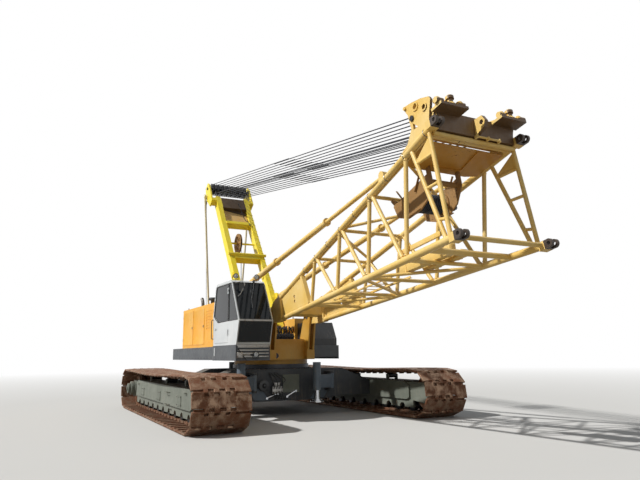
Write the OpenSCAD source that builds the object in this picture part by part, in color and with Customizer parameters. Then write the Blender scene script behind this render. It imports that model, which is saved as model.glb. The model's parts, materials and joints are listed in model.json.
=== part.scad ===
// Crawler crane as it stands in a yard: the machine with the foot section of its lattice boom,
// the boom held by the hoist ropes that run from the A-frame to the cross-head on the section's end.
// X points forward along the boom, Y to the machine's left, Z up.
// The origin is on the ground under the slewing axis.

/* [Crawlers] */
// Distance between the centre lines of the two crawlers
crawler_gauge = 6800; // [6700:50:7200]
// Distance between the sprocket and idler centres of a crawler
wheel_base = 9050; // [8800:50:9400]
// Width of a track shoe
shoe_width = 1500; // [1300:50:1500]
// Number of shoes round one track
shoe_count = 54; // [53:1:56]
// Radius of the track's pin line round the end wheels
pin_line_r = 615; // [600:5:640]
// Height of the shoe's outer face over the pin line
shoe_rise = 110; // [100:5:120]
// Thickness of a shoe's plate
shoe_plate = 70; // [60:5:80]
// Depth of the link rails under the pin line
rail_drop = 40; // [30:5:50]
// Gap between two shoes
shoe_gap = 34; // [20:2:50]
// Sag of the track's upper run
track_sag = 60; // [20:5:80]
// Width of the link rails that the rollers run on
rail_width = 520; // [480:10:560]
// Width of the crawler's side frame
frame_width = 800; // [740:10:860]
// Height of the underside of the side frame's box
frame_bottom = 500; // [480:10:540]
// Height of the top of the side frame's box
frame_top = 1050; // [1000:10:1080]
// Radius of a bottom roller
roller_r = 170; // [150:5:180]
// Number of bottom rollers on a side
roller_count = 11; // [9:1:11]

/* [Car body] */
// Height of the car body's top under the slewing ring
body_top = 1450; // [1430:10:1470]
// Ground clearance under the car body
body_clearance = 470; // [440:10:500]
// Distance of a cross beam from the slewing axis
beam_offset = 1250; // [1200:10:1300]
// Width of a cross beam
beam_width = 700; // [600:20:720]
// Outer radius of the slewing ring
ring_r = 1300; // [1200:10:1320]
// Distance of the jack arm's pivot ahead of the slewing axis
jack_pivot_x = 1860; // [1850:5:1880]
// Distance of the jack arm's pivot from the centre line
jack_pivot_y = 1350; // [1320:10:1370]
// Length of a jack arm from its pivot to the jack
jack_arm_length = 880; // [840:10:890]
// Outer radius of a jack's cylinder
jack_tube_r = 125; // [115:5:135]
// Radius of a jack's rod
jack_rod_r = 100; // [80:5:100]
// Radius of a jack's foot plate
jack_foot_r = 220; // [180:10:230]
// Height of a jack's foot plate over the ground with the rod drawn in
jack_foot_z = 440; // [400:10:460]

/* [Superstructure] */
// Height of the underside of the slewing deck
deck_bottom = 1750; // [1740:10:1780]
// Height of the deck's top
deck_top = 2200; // [2180:10:2240]
// Half the width over the side decks
deck_half_width = 1900; // [1860:10:1940]
// Rear end of the frame and decks behind the slewing axis
frame_rear = 6400; // [6200:50:6600]
// Front end of the main frame ahead of the slewing axis
frame_front = 1500; // [1450:10:1550]
// Distance from the centre line to the inner face of a main beam
beam_inner = 500; // [480:10:520]
// Distance from the centre line to the outer face of a main beam
beam_outer = 760; // [740:10:780]
// Height of a main beam's top
beam_top = 2400; // [2350:10:2420]
// Rear end of the housings behind the slewing axis
housing_rear = 4800; // [4600:50:5000]
// Height of the roof of the engine housing
housing_top = 3720; // [3600:20:3800]
// Height of the roof of the left housing
left_housing_top = 3160; // [3000:20:3300]
// Thickness of the housings' sheet walls
housing_wall = 40; // [20:5:60]

/* [Cab] */
// Outer side of the cab from the centre line
cab_outer_y = 2350; // [2300:10:2400]
// Width of the cab
cab_width = 1050; // [1000:10:1080]
// Thickness of the cab's walls and door
cab_wall = 50; // [40:5:60]
// Thickness of the panes
pane = 8; // [6:1:12]

/* [A-frame] */
// Foot pins of the A-frame behind the slewing axis
a_foot_x = 500; // [450:10:550]
// Height of the A-frame's foot pins
a_foot_z = 2620; // [2600:10:2660]
// Head shaft behind the slewing axis
a_head_x = 5050; // [5000:10:5100]
// Height of the head shaft
a_head_z = 9150; // [9100:10:9200]
// Distance of a leg's centre line from the crane's centre line
a_leg_y = 630; // [620:5:640]
// Width of a leg across the machine
a_leg_width = 200; // [180:5:210]
// Depth of a leg
a_leg_depth = 340; // [320:10:360]
// Number of sheaves in the A-frame's head, and as many in the cross-head
sheave_count = 8; // [6:1:9]
// Radius of the rope's centre line round a sheave
sheave_rope_r = 220; // [200:5:230]
// Radius of a hoist rope
rope_r = 14; // [10:1:15]

/* [Boom] */
// Boom foot pins ahead of the slewing axis
foot_x = 1700; // [1680:5:1720]
// Height of the boom foot pins
foot_z = 3120; // [3100:5:3140]
// Angle of the boom over the horizontal
boom_angle = 11.8; // [5:0.1:20]
// Length of the foot section from its foot pins to its connection pins
boom_length = 9600; // [9500:50:9700]
// Half the width over the foot plates' centres
foot_half_width = 683; // [675:1:690]
// Half the width over the chords' centres at the outer end
end_half_width = 1115; // [1090:5:1140]
// Half the depth between the chords' centres at the foot
foot_half_depth = 240; // [230:5:250]
// Half the depth between the chords' centres at the outer end
end_half_depth = 1170; // [1140:5:1200]
// Radius of a chord tube
chord_r = 75; // [70:1:80]
// Radius of a side lacing tube
lacing_r = 48; // [40:1:50]
// Radius of the pin bore in a connection lug
lug_bore_r = 40; // [36:1:45]
// Radius of a connection lug
lug_r = 86; // [80:1:100]
// Radius of the boom foot pins
foot_pin_r = 80; // [70:5:90]

/* [Backstops] */
// Distance of a backstop from the centre line
backstop_y = 860; // [855:1:865]
// Outer radius of a backstop's tube
backstop_tube_r = 80; // [75:1:82]
// Radius of a backstop's rod
backstop_rod_r = 55; // [45:1:58]
// Length of a backstop's tube from its foot pin
backstop_tube_length = 7300; // [7200:50:7400]

/* [Hidden] */
$fn = 48;
SEAT = 0.3;
big = 20000;

// Points and directions
function unit(v) = v / norm(v);
function side_sign(i) = i == 0 ? -1 : 1;

// A straight round bar from point p to point q; spin turns its seam away from where others meet it
module bar(p, q, r, spin = 0) {
    d = q - p;
    translate(p)
        rotate([0, acos(d[2] / norm(d)), atan2(d[1], d[0])])
            rotate([0, 0, spin]) cylinder(r = r, h = norm(d));
}

// A bar that lies across the machine, centred at height z and place x
module cross_bar(x, z, r, y0, y1) {
    translate([x, y0, z]) rotate([-90, 0, 0]) cylinder(r = r, h = y1 - y0);
}

// An outline in the side view, given as [x, z], made into a plate from y0 to y1
module side_plate(y0, y1) {
    translate([0, y1, 0]) rotate([90, 0, 0]) linear_extrude(y1 - y0) children();
}

// An outline in the front view, given as [y, z], made into a solid from x0 to x1
module front_plate(x0, x1) {
    translate([x0, 0, 0]) rotate([90, 0, 90]) linear_extrude(x1 - x0) children();
}

// A box from its two corners
module block(low, high) {
    translate(low) cube(high - low);
}

// The same thing on both sides of the machine
module both_sides() {
    children();
    mirror([0, 1, 0]) children();
}

// The track's pin line, with its bottom run on the ground side
half_base = wheel_base / 2;
wheel_z = pin_line_r + shoe_rise;
arc_length = PI * pin_line_r;
path_length = 2 * wheel_base + 2 * arc_length;
shoe_pitch = path_length / shoe_count;

function sag_at(x) = track_sag * (1 + cos(180 * x / half_base)) / 2;
function pin_path(s) =
    s < wheel_base ? [-half_base + s, wheel_z - pin_line_r]
    : s < wheel_base + arc_length ?
        let (a = (s - wheel_base) / pin_line_r * 180 / PI - 90)
        [half_base + pin_line_r * cos(a), wheel_z + pin_line_r * sin(a)]
    : s < 2 * wheel_base + arc_length ?
        let (x = half_base - (s - wheel_base - arc_length))
        [x, wheel_z + pin_line_r - sag_at(x)]
    : let (a = (s - 2 * wheel_base - arc_length) / pin_line_r * 180 / PI + 90)
        [-half_base + pin_line_r * cos(a), wheel_z + pin_line_r * sin(a)];

pins = [for (i = [0:shoe_count - 1]) pin_path(i * shoe_pitch + shoe_pitch / 3)];
function pin_at(i) = pins[(i + shoe_count) % shoe_count];
function along(i) = unit(pin_at(i + 1) - pin_at(i));
function outward(i) = [along(i)[1], -along(i)[0]];
function shoe_length(i) = norm(pin_at(i + 1) - pin_at(i));
// A point of shoe i, a from its rear pin and rise over the pin line
function shoe_point(i, a, rise) = pin_at(i) + a * along(i) + rise * outward(i);
function pin_corner(i, rise) = pin_at(i) + rise * unit(outward(i - 1) + outward(i));

// Outline of the loop whose plates or blocks end at the given rise and are cut apart down to root
function toothed_loop(rise, root, gap) = [for (i = [0:shoe_count - 1])
    each [shoe_point(i, gap / 2, root), shoe_point(i, gap / 2, rise),
          shoe_point(i, shoe_length(i) - gap / 2, rise),
          shoe_point(i, shoe_length(i) - gap / 2, root)]];
function smooth_loop(rise) = [for (i = [0:shoe_count - 1]) pin_corner(i, rise)];

module track_loop() {
    color("saddlebrown") {
        side_plate(-shoe_width / 2, shoe_width / 2) difference() {
            polygon(toothed_loop(shoe_rise, shoe_rise - shoe_plate * 0.8, shoe_gap));
            polygon(smooth_loop(shoe_rise - shoe_plate));
        }
        side_plate(-rail_width / 2, rail_width / 2) difference() {
            polygon(smooth_loop(shoe_rise - shoe_plate / 2));
            polygon(toothed_loop(-rail_drop, shoe_rise - shoe_plate - 20, 130));
        }
    }
}

module track_right() { translate([0, -crawler_gauge / 2, 0]) track_loop(); }
module track_left() { translate([0, crawler_gauge / 2, 0]) track_loop(); }

// Rollers and end wheels run inside the loop
end_wheel_r = pin_line_r * cos(shoe_pitch / pin_line_r * 90 / PI) - rail_drop - 6;
rail_top = shoe_rise + rail_drop;
roller_z = rail_top + roller_r + SEAT;
roller_lead = 725;
roller_step = (wheel_base - 2 * roller_lead) / (roller_count - 1);
roller_width = rail_width - 40;
yoke_in = rail_width / 2 + 8;
yoke_out = yoke_in + 70;
axle_r = 110;
carrier_r = 85;
carrier_x = [-1, 0, 1] * (half_base - 2125);
function carrier_z(x) = wheel_z + pin_line_r - rail_drop - sag_at(x) - carrier_r - 2;
box_end = half_base - end_wheel_r - 120;

module end_wheel() {
    difference() {
        union() {
            cross_bar(0, 0, end_wheel_r - 60, -roller_width / 2, roller_width / 2);
            for (s = [-1, 1])
                cross_bar(0, 0, end_wheel_r, s * roller_width / 4 - 60, s * roller_width / 4 + 60);
            cross_bar(0, 0, 200, -yoke_in + SEAT, yoke_in - SEAT);
        }
        cross_bar(0, 0, axle_r + 0.05, -big, big);
        for (s = [-1, 1], a = [0:60:300]) rotate([0, a, 0])
            cross_bar(end_wheel_r * 0.62, 0, 70, s * (roller_width / 2 - 60), s * (roller_width / 2 - 60) + 61);
    }
}

module end_wheels() {
    color("dimgray")
        for (i = [0, 1], x = [-half_base, half_base])
            translate([x, side_sign(i) * crawler_gauge / 2, wheel_z]) end_wheel();
}

module bottom_roller() {
    cross_bar(0, 0, roller_r, -roller_width / 2, -roller_width / 2 + 140);
    cross_bar(0, 0, roller_r, roller_width / 2 - 140, roller_width / 2);
    cross_bar(0, 0, roller_r - 40, -roller_width / 2, roller_width / 2);
    cross_bar(0, 0, 70, -yoke_in + SEAT, yoke_in - SEAT);
}

module track_rollers() {
    color("dimgray")
        for (i = [0, 1]) translate([0, side_sign(i) * crawler_gauge / 2, 0]) {
            for (n = [0:roller_count - 1])
                translate([(n - (roller_count - 1) / 2) * roller_step, 0, roller_z]) bottom_roller();
            for (x = carrier_x) translate([x, 0, carrier_z(x)])
                cross_bar(0, 0, carrier_r, -150, 150);
        }
}

// Side view of the side frame's box, with the yokes at its ends and the skirts over the rollers
module frame_outline() {
    polygon([[-box_end, frame_bottom + 60], [-box_end + 140, frame_bottom], [box_end - 140, frame_bottom],
             [box_end, frame_bottom + 60], [box_end, frame_top - 120], [box_end - 260, frame_top],
             [-box_end + 260, frame_top], [-box_end, frame_top - 120]]);
}

module yoke_outline() {
    polygon([[-half_base, wheel_z - 300], [-box_end + 300, frame_bottom + 30],
             [-box_end + 300, frame_top - 30], [-half_base, wheel_z + 300]]);
    translate([-half_base, wheel_z]) circle(r = 300);
}

module skirt_outline() {
    half = (roller_count - 1) / 2 * roller_step;
    difference() {
        translate([-half - 200, roller_z - 60]) square([2 * half + 400, frame_bottom - roller_z + 80]);
        for (n = [0:roller_count - 2])
            translate([(n - (roller_count - 2) / 2) * roller_step, roller_z - 80]) circle(r = 150);
    }
}

module track_frame() {
    side_plate(-frame_width / 2, frame_width / 2) frame_outline();
    for (s = [0, 1]) mirror([0, s, 0]) side_plate(yoke_in, yoke_out) {
        yoke_outline();
        mirror([1, 0]) yoke_outline();
        skirt_outline();
    }
    for (x = [-half_base, half_base]) cross_bar(x, wheel_z, axle_r, -yoke_out, yoke_out);
    for (x = carrier_x, s = [0, 1]) mirror([0, s, 0])
        block([x - 70, 152, frame_top - 40], [x + 70, 192, carrier_z(x) + 40]);
    for (x = carrier_x) cross_bar(x, carrier_z(x), 30, -170, -150 - SEAT);
    for (x = carrier_x) cross_bar(x, carrier_z(x), 30, 150 + SEAT, 170);
}

module track_frames() {
    color("darkslategray")
        for (i = [0, 1]) translate([0, side_sign(i) * crawler_gauge / 2, 0]) track_frame();
}

// Car body
frame_inner_y = crawler_gauge / 2 - frame_width / 2;
beam_front = beam_offset + beam_width / 2;
jack_corner_y = 1110;

module car_body() { color("slategray") car_body_shape(); }

module car_body_shape() {
    translate([0, 0, body_clearance])
        linear_extrude(body_top - body_clearance)
            polygon([for (a = [22.5:45:360]) 1500 * [cos(a), sin(a)]]);
    for (s = [-1, 1]) {
        x0 = s > 0 ? beam_offset - beam_width / 2 : -beam_front;
        front_plate(x0, x0 + beam_width)
            polygon([[-frame_inner_y, 560], [-1850, 560], [-jack_corner_y, body_clearance],
                     [jack_corner_y, body_clearance], [1850, 560], [frame_inner_y, 560],
                     [frame_inner_y, 1020], [1900, body_top], [-1900, body_top], [-frame_inner_y, 1020]]);
    }
    // Lugs that carry the jack arms' pivot pins
    for (sx = [-1, 1], sy = [-1, 1], z = [arm_low - 70, arm_high + 10])
        translate([sx * jack_pivot_x, sy * jack_pivot_y, z]) {
            cylinder(r = 110, h = 60);
            block([sx > 0 ? beam_front - jack_pivot_x - 10 : 0, -110, 0],
                  [sx > 0 ? 0 : jack_pivot_x - beam_front + 10, 110, 60]);
        }
    for (sx = [-1, 1], sy = [-1, 1])
        translate([sx * jack_pivot_x, sy * jack_pivot_y, 780]) cylinder(r = 50, h = 560);
}

module slew_ring() {
    color("dimgray") translate([0, 0, body_top])
        cylinder(r = ring_r, h = (deck_bottom - body_top) / 2 - SEAT, $fn = 96);
}

// Jacks on swinging arms: place of the pivot, and the swing outwards from straight ahead
jack_rest_out = 45;
jack_rest_in = -58;
jack_body_low = 800;
jack_body_high = 1660;
arm_low = 830;
arm_high = 1290;

module jack_place(sx, sy, swing) {
    translate([sx * jack_pivot_x, sy * jack_pivot_y, 0])
        mirror([sx < 0 ? 1 : 0, 0, 0]) mirror([0, sy < 0 ? 1 : 0, 0]) rotate([0, 0, swing]) children();
}

module jack_arm() {
    color("slategray") difference() {
        union() {
            translate([0, 0, 830]) cylinder(r = 105, h = 460);
            block([0, -70, arm_low + 30], [jack_arm_length, 70, arm_high - 30]);
            translate([jack_arm_length, 0, jack_body_low])
                cylinder(r = jack_tube_r, h = jack_body_high - jack_body_low);
        }
        translate([0, 0, 800]) cylinder(r = 50.05, h = 600);
        translate([jack_arm_length, 0, jack_body_low - 1])
            cylinder(r = jack_rod_r + 0.05, h = jack_body_high - jack_body_low - 30);
    }
}

module jack_rod() {
    color("silver") translate([jack_arm_length, 0, jack_foot_z]) {
        cylinder(r = jack_foot_r, h = 45);
        cylinder(r = 150, h = 90);
        cylinder(r = jack_rod_r, h = jack_body_high - 60 - jack_foot_z);
    }
}

module jack_arm_front_right() { jack_place(1, -1, jack_rest_out) jack_arm(); }
module jack_arm_front_left() { jack_place(1, 1, jack_rest_in) jack_arm(); }
module jack_arm_rear_right() { jack_place(-1, -1, jack_rest_in) jack_arm(); }
module jack_arm_rear_left() { jack_place(-1, 1, jack_rest_in) jack_arm(); }
module jack_rod_front_right() { jack_place(1, -1, jack_rest_out) jack_rod(); }
module jack_rod_front_left() { jack_place(1, 1, jack_rest_in) jack_rod(); }
module jack_rod_rear_right() { jack_place(-1, -1, jack_rest_in) jack_rod(); }
module jack_rod_rear_left() { jack_place(-1, 1, jack_rest_in) jack_rod(); }

// Slewing superstructure
foot_lug_half = 50;
foot_gap = 12;
ear_plate = 55;
a_lug_half = 50;
a_pin_r = 60;
tie_pin_r = 50;

module ear(y0, y1, x, z, r, bore, base_z, back, front) {
    difference() {
        side_plate(y0, y1) {
            translate([x, z]) circle(r = r);
            polygon([[x - r, z], [x + r, z], [x + front, base_z], [x - back, base_z]]);
        }
        cross_bar(x, z, bore, -big, big);
    }
}

// A pair of ears on each side of a lug whose centre is at y
module ear_pair(y, half, x, z, r, bore, base_z, back, front) {
    for (t = [-1, 1]) {
        c = y + t * (half + foot_gap + ear_plate / 2);
        ear(c - ear_plate / 2, c + ear_plate / 2, x, z, r, bore, base_z, back, front);
    }
}

module main_frame() {
    color("darkgoldenrod") {
        translate([0, 0, body_top + (deck_bottom - body_top) / 2])
            cylinder(r = ring_r - 40, h = (deck_bottom - body_top) / 2 + 5, $fn = 96);
        translate([0, 0, deck_bottom]) cylinder(r = ring_r, h = 50, $fn = 96);
        both_sides() {
            block([-frame_rear, beam_inner, deck_bottom], [frame_front, beam_outer, beam_top]);
            ear_pair(foot_half_width, foot_lug_half, foot_x, foot_z, 230, foot_pin_r + 0.05,
                deck_bottom + 300, 700, 60);
            block([frame_front - 500, 545, deck_bottom], [foot_x + 50, 821, deck_bottom + 310]);
            ear_pair(a_leg_y, a_lug_half, -a_foot_x, a_foot_z, 130, a_pin_r + 0.05, beam_top - 1, 160, 160);
            ear_pair(a_leg_y, a_lug_half, -tie_x, tie_z, 110, tie_pin_r + 0.05, beam_top - 1, 130, 130);
        }
        for (x = [-frame_rear, -4700, -3000, -1500, -200, frame_front - 600])
            block([x, -beam_inner - 1, deck_bottom], [x + 200, beam_inner + 1, beam_top - 150]);
        block([frame_front - 600, -beam_inner - 1, deck_bottom], [frame_front, beam_inner + 1, beam_top]);
    }
}

module foot_pins() {
    color("dimgray") both_sides() {
        cross_bar(foot_x, foot_z, foot_pin_r, foot_half_width - 125, foot_half_width + 125);
        cross_bar(-a_foot_x, a_foot_z, a_pin_r, a_leg_y - 125, a_leg_y + 125);
        cross_bar(-tie_x, tie_z, tie_pin_r, a_leg_y - 125, a_leg_y + 125);
    }
}

// Side decks of sheet with a deep skirt, and the platform under the cab
skirt = 60;
rib_step = 1200;
cab_rear = 900;
cab_front = 3060;
platform_inner_y = cab_outer_y - cab_width;
left_deck_front = 1450;

module deck(x0, x1) {
    block([x0, beam_outer, deck_top - 50], [x1, deck_half_width, deck_top]);
    block([x0, deck_half_width - skirt, deck_bottom], [x1, deck_half_width, deck_top]);
    for (x = [x0:rib_step:x1 - skirt])
        block([x, beam_outer, deck_bottom + 60], [x + skirt, deck_half_width, deck_top]);
    block([x1 - skirt, beam_outer, deck_bottom + 60], [x1, deck_half_width, deck_top]);
}

module side_decks() {
    color("gray") {
        mirror([0, 1, 0]) {
            deck(-frame_rear, cab_rear - 60);
            block([cab_rear - 61, platform_inner_y, deck_bottom], [cab_front, cab_outer_y, deck_bottom + 60]);
            block([cab_rear - 61, platform_inner_y, deck_top - 50], [cab_front - 60, cab_outer_y, deck_top]);
            for (x = [cab_rear - 61, (cab_rear + cab_front) / 2, cab_front - 61])
                block([x, platform_inner_y, deck_bottom], [x + 60, cab_outer_y, deck_top]);
            for (y = [platform_inner_y, cab_outer_y - 60])
                block([cab_rear - 61, y, deck_bottom], [cab_front - 60, y + 60, deck_top]);
            for (z = [deck_bottom + 90:90:deck_top - 90])
                block([cab_front - 10, platform_inner_y + 40, z], [cab_front + 40, cab_outer_y - 40, z + 45]);
        }
        difference() {
            deck(-frame_rear, left_deck_front);
            block([frame_front - 500 - SEAT, 0, 0], [big, 821 + SEAT, big]);
        }
    }
}

// A housing of sheet, open below, with louvres in its outer side
housing_inner_y = beam_outer + 20;
module housing(x0, x1, z1, louvre_x) {
    difference() {
        block([x0, housing_inner_y, deck_top], [x1, deck_half_width, z1]);
        block([x0 + housing_wall, housing_inner_y + housing_wall, deck_top - 1],
              [x1 - housing_wall, deck_half_width - housing_wall, z1 - housing_wall]);
        for (x = louvre_x, z = [z1 - 900:100:z1 - 300])
            block([x, deck_half_width - 12, z], [x + 700, deck_half_width + 1, z + 50]);
    }
}

module engine_housing() {
    color("orange") mirror([0, 1, 0]) housing(-housing_rear, cab_rear - 160, housing_top, [-1500]);
}
// The left housing has a tank with a sloping front ahead of it
left_housing_front = 300;
module left_housing() {
    color("orange") {
        housing(-housing_rear, left_housing_front, left_housing_top, [-4400, -1800]);
        side_plate(880, deck_half_width - 60) translate([left_housing_front + 21, deck_top])
            polygon([[0, 0], [1099, 0], [1099, 220], [799, 780], [0, 780]]);
    }
}

engine_rear = 4300;
engine_front = 2500;
engine_top = 3250;
engine_foot = 200;
module engine_block() {
    color("dimgray") {
        block([-engine_rear, -1650, deck_top + 160], [-engine_front, -1000, engine_top]);
        for (x = [100 - engine_rear, -engine_front - 300])
            block([x, -1600, deck_top], [x + engine_foot, -1050, deck_top + 161]);
    }
}

// Hoist winches between the main beams
drum_x = [-1750, -3450];
drum_z = 2900;
drum_r = 300;
drum_flange_r = 430;
drum_half = 400;
winch_plate = 40;

module winch_frames() {
    color("gray") for (x = drum_x) {
        for (s = [-1, 1]) {
            y = s * (drum_half + 12 + winch_plate / 2);
            side_plate(y - winch_plate / 2, y + winch_plate / 2) {
                translate([x, drum_z]) circle(r = 200);
                polygon([[x - 200, drum_z], [x + 200, drum_z], [x + 360, beam_top], [x - 360, beam_top]]);
            }
            block([x - 360, s > 0 ? drum_half + 12 : -beam_outer + 90, beam_top],
                  [x + 360, s > 0 ? beam_outer - 90 : -drum_half - 12, beam_top + 30]);
            cross_bar(x, drum_z, 90, s > 0 ? drum_half + 12 - 160 : -drum_half - 12 - 0,
                s > 0 ? drum_half + 12 : -drum_half - 12 + 160);
        }
    }
}

module hoist_drum(x) {
    color("darkslategray") difference() {
        union() {
            cross_bar(x, drum_z, drum_r, -drum_half, drum_half);
            for (y = [-drum_half, drum_half - 40]) cross_bar(x, drum_z, drum_flange_r, y, y + 40);
        }
        cross_bar(x, drum_z, 90.05, -drum_half - 1, -drum_half + 155);
        cross_bar(x, drum_z, 90.05, drum_half - 155, drum_half + 1);
    }
}
module hoist_drum_front() { hoist_drum(drum_x[0]); }
module hoist_drum_rear() { hoist_drum(drum_x[1]); }

// Cab, as a side view [x, z] swept across its width
cab_floor = deck_top;
cab_roof = 4120;
cab_nose = [3290, 2880];
door_front = 2330;
sill_z = 2890;

function cab_profile(t) = [
    [cab_rear + t, cab_floor + t], [cab_rear - 80 + t, sill_z + 230], [1040 + t, cab_roof - 90 - t / 2],
    [1160 + t / 2, cab_roof - t], [2480 - t / 2, cab_roof - t], [2600 - t, cab_roof - 60 - t],
    [cab_nose[0] - t * 1.1, cab_nose[1] + t * 0.2], [3080 - t, cab_floor + t]];

module cab_box(t) {
    side_plate(cab_outer_y - cab_width + t, cab_outer_y - t) polygon(cab_profile(t));
}

// Openings in the cab's side, given as side views
module door_outline(grow) {
    polygon([[985 - grow, cab_floor + 70 - grow], [door_front + grow, cab_floor + 70 - grow],
             [door_front + grow, cab_roof - 66 + grow], [1180 - grow, cab_roof - 66 + grow],
             [1095 - grow, cab_roof - 110 + grow], [885 - grow, sill_z + 240]]);
}
module door_pane_outline(grow) {
    polygon([[door_front - 30 + grow, sill_z + 30 - grow], [door_front - 30 + grow, cab_roof - 100 + grow],
             [1200 - grow, cab_roof - 100 + grow], [1135 - grow, cab_roof - 140 + grow],
             [930 - grow, sill_z + 260], [945 - grow, sill_z + 220], [1350, sill_z + 30 - grow]]);
}
module fixed_pane_outline(grow) {
    polygon([[door_front + 35 - grow, sill_z + 30 - grow], [3205 + grow, sill_z + 30 - grow],
             [2568 + grow, cab_roof - 100 + grow], [door_front + 35 - grow, cab_roof - 100 + grow]]);
}
module inner_pane_outline(grow) {
    polygon([[1250 - grow, sill_z + 60 - grow], [3080 + grow, sill_z + 60 - grow],
             [2480 + grow, cab_roof - 170 + grow],
             [1250 - grow, cab_roof - 170 + grow]]);
}

// The panes that lie across the cab run between two points of the profile
module front_pane(p, q, w, thick, out) {
    d = q - p;
    n = [d[1], -d[0]] / norm(d);
    side_plate(cab_outer_y - cab_width / 2 - w / 2, cab_outer_y - cab_width / 2 + w / 2)
        polygon([p + n * out, q + n * out, q + n * (out - thick), p + n * (out - thick)]);
}
nose_low = [3281, 2850];
screen_top = [2600, cab_roof - 60];
nose_high = cab_nose + 0.0304 * (screen_top - cab_nose);
brow = cab_nose + 0.9826 * (screen_top - cab_nose);
chin = [3105, 2280];
front_pane_w = cab_width - 2 * 42;

// Door hinges outside the front edge of the door, with the pin fast in the shell's knuckles
hinge_z = [cab_floor + 280, cab_roof - 400];
hinge_at = [2326, cab_outer_y + 18];
hinge_r = 16;
hinge_pin_r = 9;
module knuckle(z, height) {
    translate([hinge_at[0], hinge_at[1], z]) cylinder(r = hinge_r, h = height);
}

module cab_shell() {
    color("lightgray") mirror([0, 1, 0]) for (z = hinge_z) {
        translate([hinge_at[0], hinge_at[1], z]) cylinder(r = hinge_pin_r, h = 180);
        for (k = [0, 121]) {
            knuckle(z + k, 59);
            block([hinge_at[0], cab_outer_y - 1, z + k], [hinge_at[0] + 50, cab_outer_y + 12, z + k + 59]);
        }
    }
    color("lightgray") mirror([0, 1, 0]) difference() {
        cab_box(0);
        cab_box(cab_wall);
        side_plate(cab_outer_y - cab_wall - 1, cab_outer_y + 1) {
            door_outline(0);
            fixed_pane_outline(0);
        }
        side_plate(cab_outer_y - cab_width - 1, cab_outer_y - cab_width + cab_wall + 1)
            inner_pane_outline(0);
        front_pane(nose_high, brow, front_pane_w, 260, 100);
        front_pane(chin, nose_low, front_pane_w, 260, 100);
        translate([0, cab_outer_y - cab_width / 2 - 350, sill_z + 260])
            cube([1300, 700, cab_roof - sill_z - 530]);
        translate([1350, cab_outer_y - cab_width / 2 - 300, cab_roof - 150]) cube([900, 600, 200]);
    }
}

module cab_glass() {
    color("black") mirror([0, 1, 0]) {
        side_plate(cab_outer_y - pane - 12, cab_outer_y - 12) fixed_pane_outline(-SEAT);
        side_plate(cab_outer_y - cab_width + 12, cab_outer_y - cab_width + 12 + pane)
            inner_pane_outline(-SEAT);
        front_pane(nose_high + [0.3, 1], brow + [0.2, -1], front_pane_w - 2 * SEAT, pane, 0);
        front_pane(chin + [0, 1], nose_low + [0, -1], front_pane_w - 2 * SEAT, pane, 0);
        translate([1350 + SEAT, cab_outer_y - cab_width / 2 - 300 + SEAT, cab_roof - 20])
            cube([900 - 2 * SEAT, 600 - 2 * SEAT, pane]);
    }
}

module cab_door() {
    color("lightgray") mirror([0, 1, 0]) difference() {
        union() {
            side_plate(cab_outer_y - cab_wall, cab_outer_y) door_outline(-8);
            block([1040, cab_outer_y - 1, 2700], [1180, cab_outer_y + 35, 2735]);
            for (z = hinge_z) {
                knuckle(z + 60, 60);
                block([hinge_at[0] - 90, cab_outer_y - 1, z + 60], [hinge_at[0], cab_outer_y + 12, z + 120]);
            }
        }
        for (z = hinge_z) translate([hinge_at[0], hinge_at[1], z]) cylinder(r = hinge_pin_r + 0.05, h = 180);
        side_plate(cab_outer_y - cab_wall - 1, cab_outer_y + 60) door_pane_outline(0);
    }
}

module door_glass() {
    color("black") mirror([0, 1, 0])
        side_plate(cab_outer_y - pane - 12, cab_outer_y - 12) door_pane_outline(-SEAT);
}

module cab_seat() {
    mid = -(cab_outer_y - cab_width / 2);
    color("dimgray") {
        translate([1700, mid, cab_floor + cab_wall]) cylinder(r = 160, h = 380);
        block([1420, mid - 250, cab_floor + 430], [1960, mid + 250, cab_floor + 560]);
        block([1340, mid - 240, cab_floor + 500], [1470, mid + 240, cab_floor + 1150]);
        for (s = [-1, 1])
            block([1500, mid + s * 310 - 60, cab_floor + 430], [2150, mid + s * 310 + 60, cab_floor + 640]);
        block([1400, mid - 311, cab_floor + 431], [1560, mid + 311, cab_floor + 500]);
    }
}

// A-frame, drawn in its own frame: Z runs up the legs from the foot pins, X faces the boom
a_tilt = atan2(a_head_x - a_foot_x, a_head_z - a_foot_z);
a_length = norm([a_head_x - a_foot_x, a_head_z - a_foot_z]);
module a_place() {
    translate([-a_foot_x, 0, a_foot_z]) rotate([0, -a_tilt, 0]) children();
}
a_leg_in = a_leg_y - a_leg_width / 2;
a_leg_out = a_leg_y + a_leg_width / 2;
leg_end = a_length - 640;
low_beam_z = 3700;
mid_beam_z = 5680;
guide_z = 4640;
guide_r = 410;
guide_y = -150;
backstop_lug = 95;
head_half = sheave_count * 105 + 50;
head_plate = 60;

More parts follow.
